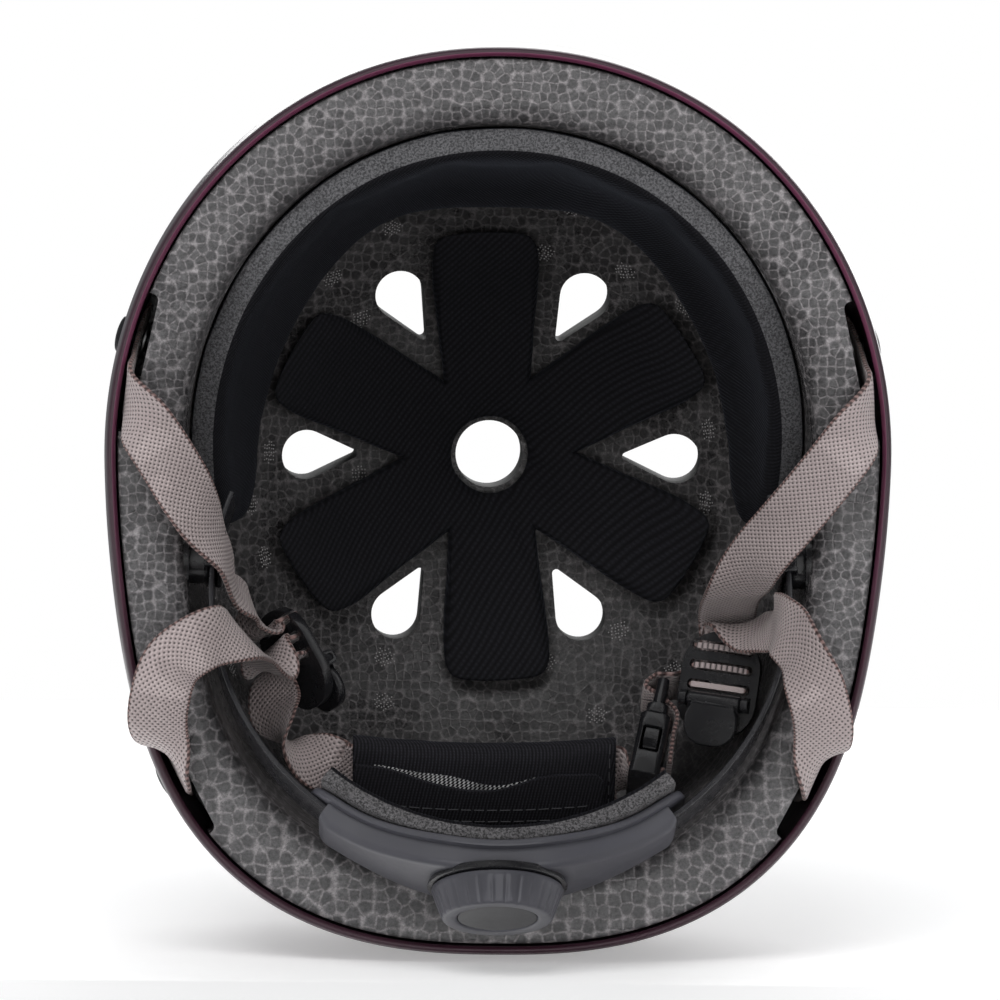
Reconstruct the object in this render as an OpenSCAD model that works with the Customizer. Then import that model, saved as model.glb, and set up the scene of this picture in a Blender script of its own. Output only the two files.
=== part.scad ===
// Hard-shell skate helmet: moulded shell, expanded foam liner, fit pads, riveted webbing,
// side dividers with cam levers, a side-release buckle and a rear cradle drawn in by a dial.
// The crown is +Z, the brow is -Y, and the origin is the middle of the head opening.
// Angles around the helmet are measured from the rear, towards the wearer's left side (+X).
// In the nodes' names, right is +X and left is -X, as seen looking into the upturned helmet.

/* [Shell] */
// Outer width of the shell at its widest ring
shell_w = 214; // [212:1:218]
// Reach of the shell ahead of the crown vent
shell_front = 115; // [112:1:118]
// Reach of the shell behind the crown vent
shell_rear = 131; // [130:1:134]
// Height of the crown above the head opening
shell_h = 150; // [147:1:154]
// Wall thickness of the shell
shell_wall = 3; // [2.6:0.1:3.2]
// Height of the widest ring of the shell
shell_waist_z = 28; // [24:1:32]
// How far the rim tucks in below the widest ring
rim_tuck = 1.6; // [0.5:0.1:2]
// Height of the rim at the brow
rim_brow_z = 8; // [6:0.5:10]
// Extra height of the rim arch over the ears
ear_arch = 5; // [3:0.5:6]
// Inward pinch of the shell beside the ears
ear_pinch = 2; // [0.5:0.1:2.2]
// Place of the crown vent along the helmet
crown_y = -8; // [-10:0.5:-7]

/* [Liner] */
// Thickness of the foam at the rim
foam_rim = 19; // [18:0.25:19.5]
// Thickness of the foam at the crown
foam_crown = 29; // [27:0.5:30]
// Height at which the cavity starts to close
cavity_waist_z = 14; // [12:1:16]
// Gap between the foam and the shell
foam_gap = 0.4; // [0.3:0.05:0.5]

/* [Vents] */
// Radius of the crown vent in the shell
crown_vent_r = 9.5; // [8.5:0.25:10.5]
// Distance from the crown vent to the round end of each teardrop vent
vent_ring_r = 52.5; // [51:0.5:54]
// Distance from the crown vent to the point of each teardrop vent
vent_tip_r = 36; // [34:0.5:38]
// Radius of the round end of a teardrop vent in the shell
vent_r = 7; // [6:0.25:7.5]
// How much wider the foam is cut around each vent
vent_step = 1.5; // [1:0.1:1.8]

/* [Pads] */
// Thickness of the crown pad
crown_pad_t = 5.5; // [4.5:0.25:6.5]
// Reach of each petal of the crown pad
petal_reach = 64; // [60:0.5:66]
// Half width of a petal at its end
petal_half_w = 16; // [14:0.5:17]
// Half width of a petal at its waist
petal_waist_w = 12.5; // [11:0.5:13]
// Turn of the crown pad about the crown vent, as it was pressed on
crown_pad_turn = 2.4; // [0:0.2:3]
// Thickness of the brow pad
brow_pad_t = 6; // [5:0.25:6.5]
// Height of the top edge of the brow pad
brow_pad_top = 69; // [62:1:70]
// Height of the bottom edge of the brow pad above the rim
brow_pad_foot = 5; // [5:0.5:8]
// Angle from the brow to each end of the brow pad
brow_pad_reach = 104; // [96:1:108]
// Thickness of the hook discs behind the pads
hook_t = 0.8; // [0.6:0.05:0.9]
// Radius of a hook disc
hook_r = 5.5; // [4.5:0.25:6]

/* [Webbing] */
// Width of the webbing
web_w = 16; // [15:0.25:16.5]
// Thickness of the webbing
web_t = 1.5; // [1.2:0.05:1.6]
// Radius of a rivet's shank
rivet_r = 1.8; // [1.5:0.05:2]
// Radius of a rivet's head
rivet_head_r = 5; // [4:0.25:6]
// Angle of the front rivets from the rear
front_rivet_angle = 109; // [107:0.5:111]
// Angle of the rear rivets from the rear
rear_rivet_angle = 46; // [45:0.5:47]
// Height of the rivets
rivet_z = 34; // [32:0.5:36]
// Depth of the channels in the foam behind the webbing
channel_depth = 5.6; // [5.4:0.1:6.4]

/* [Cradle] */
// Radius of the outer face of the cradle frame
cradle_r = 76; // [75.5:0.1:76.3]
// Lean of the cradle and its bands
cradle_lean = 25; // [24:0.5:26]
// Place of the middle of the cradle's arc along the helmet
cradle_y = 26.5; // [25.5:0.25:27.5]
// Height of the middle of the cradle's arc
cradle_z = 16.5; // [16:0.25:17]
// Angle from the rear to each end of the cradle frame
cradle_span = 41; // [40:0.5:42]
// Thickness of the cradle frame
frame_t = 2.2; // [1.8:0.1:2.4]
// Height of the arms of the cradle frame
arm_h = 21; // [19.5:0.5:22]
// Height of the cradle at the dial
hub_h = 34; // [32:0.5:35]
// Width of the tall part of the cradle at the dial
hub_w = 62; // [58:1:66]
// Thickness of the cradle cover
cover_t = 2.2; // [1.8:0.1:2.4]
// Thickness of the foam strip on the cradle
strip_t = 5; // [4:0.25:5.5]
// Height of the foam strip on the cradle
strip_h = 25; // [22:0.5:27]

/* [Bands and dial] */
// Height of a fit band
band_h = 14; // [13:0.25:14.5]
// Thickness of a fit band
band_t = 1.4; // [1.2:0.05:1.5]
// Gap between the layers of the cradle
layer_gap = 0.3; // [0.25:0.05:0.35]
// Angle from the rear to the front end of a band
band_reach = 111; // [109:0.5:113]
// Teeth on the pinion
pinion_teeth = 9; // [9:1:9]
// Pitch radius of the pinion
pinion_r = 4; // [3.95:0.05:4.05]
// Arc that a band can be let out, in degrees
band_out = 4; // [3:0.5:4.5]
// Arc that a band can be drawn in, in degrees
band_in = 8; // [6:0.5:8.5]
// Radius of the dial where it meets the cover
dial_r = 17.5; // [16.5:0.25:18]
// Radius of the dial at its face
dial_face_r = 14.5; // [13.5:0.25:15]
// Depth of the dial
dial_depth = 8.5; // [8:0.25:9]
// Ribs around the dial
dial_ribs = 28; // [20:2:32]
// Radius of the dial's shaft
shaft_r = 3; // [2.6:0.1:3.1]

/* [Temple anchors] */
// Angle from the rear to each temple anchor
anchor_angle = 98; // [97:0.5:99]
// Radius of the plug that turns in the foam
plug_r = 7; // [6:0.25:7.5]
// Length of the plug
plug_l = 8; // [7:0.25:8.5]

/* [Dividers] */
// Width of a strap divider
divider_w = 22; // [21.5:0.25:23]
// Length of a strap divider
divider_l = 29; // [28.5:0.25:30]
// Thickness of a strap divider
divider_t = 2.8; // [2.4:0.1:3]
// Width of the cam lever
lever_w = 15; // [14:0.25:15.5]
// Length of the cam lever past its pin
lever_l = 12; // [11:0.5:13]

/* [Buckle] */
// Width of the buckle
buckle_w = 23; // [22.5:0.25:24]
// Thickness of the buckle's socket
buckle_t = 8.4; // [8:0.1:9]
// Length of the buckle's socket
socket_l = 19; // [18:0.5:20]
// Length of the buckle's outer half past the socket
stem_l = 11; // [10:0.5:12]

/* [Chin pad] */
// Length of the chin pad
chin_pad_l = 72; // [71:0.25:73]
// Height of the chin pad
chin_pad_h = 21; // [19.5:0.25:22]
// Thickness of the chin pad
chin_pad_t = 8; // [7:0.25:9]

/* [Hidden] */

// Surfaces of the shell and the foam
rear_power = 2.55;
front_power = 2.08;
dome_power = 2.3;
cavity_power = 2.2;
round_count = 72;
dome_steps = [0, 5, 12, 21, 31, 41, 51, 61, 71, 80];
rim_round = 1.2;
near = 0.3;
touch = 0.1;
cut = 1;

shell_black = "#2b2226";
foam_grey = "#4a484a";
knit_black = "#121215";
web_taupe = "#8a7a78";
moulded_black = "#17171a";
moulded_grey = "#3c3b40";
steel = "#b9babd";

function side_angle(a) = abs(((a % 360) + 540) % 360 - 180);

// Plan radius about the crown vent at an angle from the rear, drawn in by an inset
function plan_r(a, inset) =
    let (rear = side_angle(a) < 90,
         power = rear ? rear_power : front_power,
         reach = (rear ? shell_rear : shell_front) - inset)
    pow(pow(abs(sin(a)) / (shell_w / 2 - inset), power)
        + pow(abs(cos(a)) / reach, power), -1 / power);

function bell(x, width) = exp(-pow(x / width, 2));
function rim_z(a) = rim_brow_z * (1 - cos(a)) / 2 + ear_arch * bell(side_angle(a) - 78, 24);
function pinch(a) = ear_pinch * bell(side_angle(a) - 66, 20);
function plan_point(a, r, z) = [r * sin(a), crown_y + r * cos(a), z];
function facet_angle(i) = 360 * (i + 0.5) / round_count;
function around() = [for (i = [0:round_count - 1]) facet_angle(i)];
function tuck() = rim_tuck / (shell_w / 2);

// One ring of a surface: inset, how much of the ear pinch it has, and its share of the plan
function ring(inset, pinched, share, heights) =
    [for (i = [0:round_count - 1]) let (a = facet_angle(i))
        plan_point(a, (plan_r(a, inset) - pinched * pinch(a)) * share, heights[i])];
function level(z) = [for (a = around()) z];
function above_rim(z) = [for (a = around()) rim_z(a) + z];
function rising(z0, z1, s) = [for (a = around()) (rim_z(a) + z0) * (1 - s) + z1 * s];
function spread(t, power) = pow(max(cos(t), 0), 2 / power);
function rise(t, power) = pow(sin(t), 2 / power);

function shell_surface(inset, z_low) = concat(
    [for (s = [0, 0.4, 0.75])
        ring(inset, 1, 1 - tuck() * pow(1 - s, 2), rising(z_low, shell_waist_z, s))],
    [for (t = dome_steps) ring(inset, 1 - t / 90, spread(t, dome_power),
        level(shell_waist_z + (shell_h - inset - shell_waist_z) * rise(t, dome_power)))]);

cavity_inset = shell_wall + foam_gap + foam_rim;
cavity_top = shell_h - shell_wall - foam_gap - foam_crown;

// Share of the plan that the cavity keeps at a height, and points on its wall
function cavity_share(z, inset) = z <= cavity_waist_z ? 1
    : pow(1 - pow((z - cavity_waist_z) / (cavity_top - inset - cavity_waist_z), cavity_power),
        1 / cavity_power);
function cavity_wall(a, z, inset) =
    plan_point(a, plan_r(a, cavity_inset + inset) * cavity_share(z, inset), z);

// Height of the cavity's ceiling, drawn in by an inset, at a distance from the crown vent
function ceiling_point(a, share, inset) =
    plan_point(a, plan_r(a, cavity_inset + inset) * share,
        cavity_waist_z + (cavity_top - inset - cavity_waist_z)
        * pow(1 - pow(share, cavity_power), 1 / cavity_power));

function reversed(list) = [for (i = [len(list) - 1:-1:0]) list[i]];
function flat(lists) = [for (l = lists) for (p = l) p];
function unit(v) = v / norm(v);
function mean(points) = [for (k = [0:2]) sum([for (p = points) p[k]]) / len(points)];
function sum(list, i = 0) = i < len(list) ? list[i] + sum(list, i + 1) : 0;
function sides(n, m) = [for (j = [0:m - 2]) for (i = [0:n - 1]) let (k = (i + 1) % n)
    each [[j * n + i, (j + 1) * n + k, j * n + k], [j * n + i, (j + 1) * n + i, (j + 1) * n + k]]];

// A closed skin over rings that run anticlockwise round their travel, with a pole at each end
module skin(rings, first_pole, last_pole) {
    n = len(rings[0]);
    m = len(rings);
    caps = [for (i = [0:n - 1]) let (k = (i + 1) % n)
        each [[n * m, i, k], [n * m + 1, (m - 1) * n + k, (m - 1) * n + i]]];
    polyhedron(concat(flat(rings), [first_pole, last_pole]), concat(sides(n, m), caps));
}

// The same with flat ends
module sleeve(rings) {
    skin(rings, mean(rings[0]), mean(rings[len(rings) - 1]));
}

// A skin whose last ring joins its first, such as a tube with a wall
module loop_skin(rings) {
    n = len(rings[0]);
    m = len(rings);
    polyhedron(flat(rings), [for (f = sides(n, m + 1)) [for (v = f) v % (m * n)]]);
}

// Corner points of a rectangle with round corners
function rounded(w, h, r) = [for (c = [[1, 1, 0], [-1, 1, 90], [-1, -1, 180], [1, -1, 270]])
    for (a = [0:15:90])
        [c[0] * (w / 2 - r) + r * cos(a + c[2]), c[1] * (h / 2 - r) + r * sin(a + c[2])]];

// A piece's own frame, with its Y along one direction and its Z near another
function frame_of(along, face) =
    let (y = unit(along), z = unit(face - (face * y) * y)) [cross(y, z), y, z];
function placed(place, f, p) = place + f[0] * p[0] + f[1] * p[1] + f[2] * p[2];
module set_at(place, along, face) {
    f = frame_of(along, face);
    multmatrix([for (k = [0:2]) [f[0][k], f[1][k], f[2][k], place[k]]]) children();
}

module teardrop(round_r, ring_r, tip_r) {
    side = asin(round_r / (ring_r - tip_r));
    polygon(concat([[0, tip_r]], [for (a = [-side:(180 + 2 * side) / 20:180 + side + 0.01])
        [round_r * cos(a), ring_r + round_r * sin(a)]]));
}

module vent_cuts(step) {
    translate([0, crown_y, cavity_top - 60]) {
        cylinder(h = 120, r = crown_vent_r + step, $fn = 64);
        for (i = [0:5]) rotate([0, 0, 30 + 60 * i])
            linear_extrude(120) teardrop(vent_r + step, vent_ring_r, vent_tip_r - 2 * step);
    }
}

// Rivets, seen from the shell's outer face: place, and the wall's outward direction
function wall_share(a, z) = let (s = (z - rim_z(a)) / (shell_waist_z - rim_z(a)))
    1 - tuck() * pow(1 - max(min(s, 1), 0), 2);
function wall_point(a, inset, z) =
    plan_point(a, (plan_r(a, inset) - pinch(a)) * wall_share(a, z), z);
function wall_out(a) = let (t = wall_point(a + 0.5, 0, 0) - wall_point(a - 0.5, 0, 0))
    unit([-t[1], t[0], 0]);
rivet_angles = [front_rivet_angle, rear_rivet_angle, -rear_rivet_angle, -front_rivet_angle];
module at_rivets(inset) {
    for (a = rivet_angles) set_at(wall_point(a, inset, rivet_z), [0, 0, 1], wall_out(a)) children();
}

// The channels run down the outside of the foam, from above the rivets to below the rim
front_channel_w = 38;
rear_channel_w = 33;
channel_foot = 10;
channel_head = 11;
past = 10;
module strap_channels() {
    for (side = [-1, 1]) {
        channel(side * (front_rivet_angle - 3), front_channel_w);
        channel(side * rear_rivet_angle, rear_channel_w);
    }
}
module channel(a, w) {
    set_at(wall_point(a, shell_wall, rivet_z), [0, 0, 1], wall_out(a))
        translate([-w / 2, -rivet_z - channel_foot, -channel_depth])
        cube([w, rivet_z + channel_foot + channel_head, channel_depth + past]);
}

module outer_shell() {
    color(shell_black) difference() {
        skin(concat(
            reversed(shell_surface(0, rim_round)),
            [ring(shell_wall * 0.3, 1, 1 - tuck(), above_rim(0))],
            [ring(shell_wall * 0.7, 1, 1 - tuck(), above_rim(0))],
            shell_surface(shell_wall, rim_round)),
            [0, crown_y, shell_h], [0, crown_y, shell_h - shell_wall]);
        vent_cuts(0);
        at_rivets(0) cylinder(h = 4 * shell_wall, r = rivet_r + touch, center = true, $fn = 32);
    }
}

module foam_liner() {
    outer = shell_wall + foam_gap;
    color(foam_grey) difference() {
        skin(concat(
            reversed(shell_surface(outer, 4)),
            [ring(outer + 1.2, 1, 1 - tuck(), above_rim(2.4))],
            [ring(outer + 8, 0.8, 1 - tuck(), above_rim(1.6))],
            [ring(cavity_inset - 4, 0.4, 1, above_rim(2.2))],
            [ring(cavity_inset - 1.2, 0.2, 1, above_rim(4.2))],
            [for (t = dome_steps) ring(cavity_inset, 0, spread(t, cavity_power),
                level(cavity_waist_z + (cavity_top - cavity_waist_z) * rise(t, cavity_power)))]),
            [0, crown_y, shell_h - outer], [0, crown_y, cavity_top]);
        vent_cuts(vent_step);
        strap_channels();
        at_temples() translate([0, 0, -socket_lead])
            cylinder(h = socket_depth + socket_lead + near, r = socket_r + touch, $fn = 64);
    }
}

// The pocket of a temple socket starts this far inside the cavity
socket_lead = 3;

// Rivet: a low dome outside, a shank through shell and webbing, and a turned-over end
rivet_dome_h = 1.4;
washer_t = 0.8;
strap_gap = 1.3;
washer_gap = 0.2;
rivet_grip = shell_wall + strap_gap + web_t + washer_gap + washer_t;
module strap_rivets() {
    color(steel) at_rivets(0) {
        rotate_extrude($fn = 48) {
            polygon(concat([[0, 0.1]], [for (a = [0:15:90])
                [rivet_head_r * cos(a), 0.1 + rivet_dome_h * sin(a)]]));
        }
        translate([0, 0, -rivet_grip - 0.9]) {
            cylinder(h = rivet_grip + 1.1, r = rivet_r, $fn = 32);
            cylinder(h = 0.8, r = rivet_r + 1.1, $fn = 32);
        }
    }
}

module rivet_washers() {
    color(steel) at_rivets(0) translate([0, 0, -rivet_grip]) difference() {
        cylinder(h = washer_t - touch, r = rivet_head_r, $fn = 48);
        translate([0, 0, -cut]) cylinder(h = washer_t + 2 * cut, r = rivet_r + touch, $fn = 32);
    }
}

// Crown pad: six petals about the crown vent, each drawn as straight flared sides and a round end
pad_gap = 2.35;
hook_seat = 1.65;
petal_steps = [-28, -24, -20.5, -17.5, -15, -12, -8, -3, 3, 8, 12, 15, 17.5, 20.5, 24, 28];
function petal_side_r(b) =
    let (x0 = petal_waist_w, y0 = petal_waist_w / tan(30), x1 = petal_half_w, y1 = petal_reach * 0.86,
         slope = (x1 - x0) / (y1 - y0))
    (x0 - slope * y0) / max(sin(abs(b)) - slope * cos(b), 0.0001);
function petal_r(b) = pow(pow(petal_reach, -9) + pow(petal_side_r(b), -9), -1 / 9);
crown_pad_angles = [for (i = [0:5]) for (b = petal_steps) 60 * i + b];
hub_r = crown_vent_r + vent_step;
function pad_ring(share, inset) = [for (c = crown_pad_angles)
    let (a = c + crown_pad_turn,
         b = ((c + 30) % 60 + 60) % 60 - 30,
         r = hub_r + (petal_r(b) - hub_r) * share)
    ceiling_point(a, r / plan_r(a, cavity_inset + inset), inset)];
module crown_pad() {
    out = pad_gap;
    in = pad_gap + crown_pad_t;
    color(knit_black) loop_skin([
        pad_ring(0, out + 0.8), pad_ring(0.03, out), pad_ring(0.5, out), pad_ring(0.94, out),
        pad_ring(0.99, out + 0.8), pad_ring(1, (out + in) / 2), pad_ring(0.985, in - 1),
        pad_ring(0.93, in), pad_ring(0.5, in), pad_ring(0.04, in), pad_ring(0, in - 0.8)]);
}

function ceiling_out(a, share) =
    let (p = ceiling_point(a, share, 0), q = ceiling_point(a, share + 0.01, 0),
         s = ceiling_point(a + 1, share, 0))
    unit(cross(q - p, s - p));
module on_ceiling(a, r, inset) {
    share = r / plan_r(a, cavity_inset);
    set_at(ceiling_point(a, share, inset), [sin(a + 90), cos(a + 90), 0], ceiling_out(a, share))
        children();
}

module crown_pad_hooks() {
    color(moulded_black) for (i = [0:5])
        on_ceiling(60 * i + crown_pad_turn, petal_reach * 0.68, hook_seat)
            cylinder(h = hook_t, r = hook_r, center = true, $fn = 40);
}

// Brow pad: a strip around the brow whose ends climb above the fit bands
brow_steps = 40;
brow_climb = 28;
climb_from = 0.45;
brow_scallop = 3;
function brow_share(a) = abs(a - 180) / brow_pad_reach;
function brow_foot_z(a) = rim_z(180) + brow_pad_foot
    + brow_climb * pow(max(brow_share(a) - climb_from, 0) / (1 - climb_from), 1.5);
function brow_top_z(a) = brow_pad_top + brow_scallop * cos(6 * (a - 180)) * bell(brow_share(a), 0.5);
brow_section = [[0.04, -0.3], [0, 0.15], [0, 0.7], [0.03, 1], [0.25, 1.08], [0.5, 1.1], [0.75, 1.08],
    [0.97, 1], [1, 0.6], [0.95, 0.05], [0.6, 0], [0.2, 0]];
module brow_pad() {
    color(knit_black) sleeve([for (k = [0:brow_steps])
        let (a = 180 + brow_pad_reach * (1 - 2 * k / brow_steps),
             taper = pow(1 - pow(abs(brow_share(a)), 14), 0.5),
             foot = brow_foot_z(a),
             top = brow_top_z(a),
             mid = (foot + top) / 2,
             half = (top - foot) / 2 * (0.35 + 0.65 * taper))
        [for (p = brow_section)
            cavity_wall(a, mid + half * (2 * p[0] - 1),
                pad_gap + p[1] * brow_pad_t * (0.5 + 0.5 * taper))]]);
}

module brow_pad_hooks() {
    color(moulded_black) for (b = [-60, -30, 0, 30, 60]) {
        a = 180 + b;
        z = (brow_foot_z(a) + brow_top_z(a)) / 2;
        share = cavity_share(z, 0);
        set_at(ceiling_point(a, share, hook_seat), [sin(a + 90), cos(a + 90), 0],
            ceiling_out(a, share)) cylinder(h = hook_t, r = hook_r, center = true, $fn = 40);
    }
}

// Webbing: a flat ribbon through stations of place and width direction
function curve(p0, p1, p2, p3, t) = 0.5 * (2 * p1 + (p2 - p0) * t
    + (2 * p0 - 5 * p1 + 4 * p2 - p3) * t * t + (3 * p1 - p0 - 3 * p2 + p3) * t * t * t);
function at_end(list, i) = list[min(max(i, 0), len(list) - 1)];
function along_stations(list, steps) = concat([for (i = [0:len(list) - 2]) for (k = [0:steps - 1])
    curve(at_end(list, i - 1), list[i], list[i + 1], at_end(list, i + 2), k / steps)],
    [list[len(list) - 1]]);
function ribbon_rings(stations, steps) =
    let (p = along_stations([for (s = stations) s[0]], steps),
         w = along_stations([for (s = stations) unit(s[1])], steps))
    [for (i = [0:len(p) - 1])
        let (t = unit(at_end(p, i + 1) - at_end(p, i - 1)),
             x = unit(w[i] - (w[i] * t) * t),
             n = cross(t, x))
        [p[i] + x * web_w / 2 - n * web_t / 2, p[i] + x * web_w / 2 + n * web_t / 2,
         p[i] - x * web_w / 2 + n * web_t / 2, p[i] - x * web_w / 2 - n * web_t / 2]];
module ribbon(stations) {
    color(web_taupe) sleeve(ribbon_rings(stations, 3));
}

// The stretch between shell and foam lies against the shell's inner face
strap_inset = shell_wall + strap_gap + web_t / 2;
function in_channel(a, z) = wall_point(a, strap_inset, z);
function tangent(a) = let (o = wall_out(a)) [o[1], -o[0], 0];
module riveted_strap(a, stations) {
    difference() {
        ribbon(stations);
        set_at(wall_point(a, 0, rivet_z), [0, 0, 1], wall_out(a))
            cylinder(h = 6 * shell_wall, r = rivet_r + touch, center = true, $fn = 32);
    }
}
strap_lean = 0.55;
function front_start(side) = [for (s = [[1.8, 7], [-1.2, -5], [-5.5, -20], [-8, -29]])
    let (a = side * (front_rivet_angle + s[0]))
    [in_channel(a, rivet_z + s[1]), side * tangent(a) + [0, 0, -strap_lean]]];
function rear_start(side) = [for (s = [[0, 7], [0, -8], [1, -22]])
    let (a = side * (rear_rivet_angle + s[0]))
    [in_channel(a, rivet_z + s[1]), side * tangent(a)]];

// Dividers: where they hang, and the three slots that the webbing goes through from behind
slots = [10.2, 4.8, -0.6];
left_divider_place = [-54.5, 45.5, 42];
left_divider_along = [-0.45, -0.8, 0.15];
left_divider_face = [0.75, -0.3, 0.6];
right_divider_place = [61.9, 51.3, 37];
right_divider_along = [0.14, -1, 0.1];
right_divider_face = [-0.3, 0.1, -0.92];
function in_left_divider(p) =
    placed(left_divider_place, frame_of(left_divider_along, left_divider_face), p);
function in_right_divider(p) =
    placed(right_divider_place, frame_of(right_divider_along, right_divider_face), p);

// The buckle hangs beside the chin pad, seen edge on from below
buckle_place = [44.4, 64.5, 41];
buckle_along = [0.2, -0.79, 0.52];
buckle_face = [1, 0.15, -0.1];
function in_buckle(p) = placed(buckle_place, frame_of(buckle_along, buckle_face), p);
across_buckle = frame_of(buckle_along, buckle_face)[0];
left_across = frame_of(left_divider_along, left_divider_face)[0];
right_across = frame_of(right_divider_along, right_divider_face)[0];

module left_front_strap() {
    riveted_strap(-front_rivet_angle, concat(front_start(-1), [
        [[-94, -19, -1], [0.5, -1, -0.1]],
        [[-87, -8, 0], [0.75, -1, -0.1]],
        [[-80, 4, 4], [0.7, -0.6, 0.3]],
        [[-72.3, 15, 12], [0.3, -0.2, 1]],
        [[-69.5, 25, 23], [0.15, -0.1, 1]],
        [[-66.5, 30, 33.5], [0, -0.1, 1]],
        [in_left_divider([0, slots[0] + 0.8, -6]), left_across],
        [in_left_divider([0, slots[0], -divider_t / 2]), left_across],
        [in_left_divider([0, slots[0], divider_t / 2 + 1]), left_across]]));
}
module right_front_strap() {
    riveted_strap(front_rivet_angle, concat(front_start(1), [
        [[94, -18, -1], [-0.5, -1, -0.1]],
        [[86, -7, 0], [-0.75, -1, -0.1]],
        [[77.5, 4, 4], [-0.85, -0.8, 0]],
        [[70, 14, 11], [-0.8, -0.5, 0.3]],
        [[65.3, 24, 23], [-1, 0, 0.2]],
        [[64.2, 29.6, 37], [-1, 0.1, 0.2]],
        [[64.5, 35.6, 47.5], [-1, 0, 0.25]],
        [in_right_divider([-0.3, 7.5, -9]), -right_across],
        [in_right_divider([0, slots[1] - 0.3, -5]), -right_across],
        [in_right_divider([0, slots[1], -divider_t / 2]), -right_across],
        [in_right_divider([0, slots[1], divider_t / 2 + 1]), -right_across]]));
}
module left_rear_strap() {
    riveted_strap(-rear_rivet_angle, concat(rear_start(-1), [
        [[-85.5, 70.4, -0.5], [0.45, 0.9, 0.1]],
        [[-90, 61, -9], [1, 0.3, 0]],
        [[-89.5, 51, -13], [1, 0.2, 0]],
        [[-86, 42, -12], [0.8, 0.75, 0]],
        [[-76.5, 35.8, -10.5], [0.2, 1, 0.1]],
        [[-68.6, 35.8, -1], [0.1, 1, 0.1]],
        [[-66.8, 40, 14], [-0.1, 1, -0.2]],
        [[-61.5, 47.5, 29], [-0.35, 0.7, 0.5]],
        [in_left_divider([0, slots[1], -6]), left_across],
        [in_left_divider([0, slots[1], -divider_t / 2]), left_across],
        [in_left_divider([0, slots[1], divider_t / 2 + 1]), left_across]]));
}
module right_rear_strap() {
    riveted_strap(rear_rivet_angle, concat(rear_start(1), [
        [[85.4, 70.4, -0.5], [-0.45, 0.9, 0.1]],
        [[86.5, 60, -9], [-1, 0.1, 0]],
        [[84.5, 50, -13], [-1, 0.1, 0]],
        [[81, 40, -12], [-0.7, 0, 0.6]],
        [[77.5, 34, -7], [-0.6, 0.2, 0.7]],
        [[75.4, 31.8, 1], [-0.3, 0.8, 0.5]],
        [[75.4, 31.8, 11], [0, 1, 0]],
        [[74.6, 33.5, 20], [-0.35, 0.93, 0]],
        [[71.8, 36, 28], [-0.75, 0.66, 0]],
        [[66.8, 35, 36], [-1, 0.1, 0.15]],
        [in_right_divider([0, 14.2, -5]), -right_across],
        [in_right_divider([0, slots[0] + 0.8, -4.2]), -right_across],
        [in_right_divider([0, slots[0], -divider_t / 2]), -right_across],
        [in_right_divider([0, slots[0], divider_t / 2 + 1]), -right_across]]));
}

// Strap dividers: a plate with three webbing slots, and ears for the lever's pin
slot_l = web_w + 1.6;
slot_w = 2.8;
pin_y = -4.6;
pin_r = 1;
barrel_r = 2.1;
pin_z = divider_t / 2 + barrel_r + near;
ear_t = 1.8;
module divider() {
    difference() {
        union() {
            linear_extrude(divider_t, center = true)
                polygon(rounded(divider_w, divider_l, divider_w * 0.45));
            for (side = [-1, 1]) translate([side * (lever_w / 2 + near + ear_t / 2), pin_y, 0])
                rotate([0, 90, 0]) linear_extrude(ear_t, center = true) {
                    translate([-pin_z, 0]) circle(barrel_r, $fn = 32);
                    translate([-pin_z, -barrel_r]) square([pin_z, 2 * barrel_r]);
                }
        }
        for (y = slots) translate([0, y, 0])
            linear_extrude(divider_t + 2 * cut, center = true) polygon(rounded(slot_l, slot_w, 1.2));
        translate([0, pin_y, pin_z]) rotate([0, 90, 0])
            cylinder(h = divider_w + 2 * cut, r = pin_r + touch / 2, center = true, $fn = 32);
    }
}
lever_t = 2.7;
lever_sink = 1;
module divider_lever() {
    difference() {
        union() {
            translate([0, pin_y, pin_z]) rotate([0, 90, 0])
                cylinder(h = lever_w, r = barrel_r, center = true, $fn = 40);
            translate([0, pin_y - lever_l / 2, pin_z - lever_sink])
                linear_extrude(lever_t) polygon(rounded(lever_w, lever_l + 1, lever_l * 0.48));
        }
        translate([0, pin_y, pin_z]) rotate([0, 90, 0])
            cylinder(h = lever_w + 2 * cut, r = pin_r + touch, center = true, $fn = 32);
    }
}
module lever_pin() {
    translate([0, pin_y, pin_z]) rotate([0, 90, 0])
        cylinder(h = lever_w + 2 * (near + ear_t), r = pin_r, center = true, $fn = 32);
}
module at_left_divider() {
    set_at(left_divider_place, left_divider_along, left_divider_face) children();
}
module at_right_divider() {
    set_at(right_divider_place, right_divider_along, right_divider_face) children();
}
module left_divider() { color(moulded_black) at_left_divider() divider(); }
module right_divider() { color(moulded_black) at_right_divider() divider(); }
module left_divider_lever() { color(moulded_black) at_left_divider() divider_lever(); }
module right_divider_lever() { color(moulded_black) at_right_divider() divider_lever(); }
module left_lever_pin() { color(steel) at_left_divider() lever_pin(); }
module right_lever_pin() { color(steel) at_right_divider() lever_pin(); }

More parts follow.
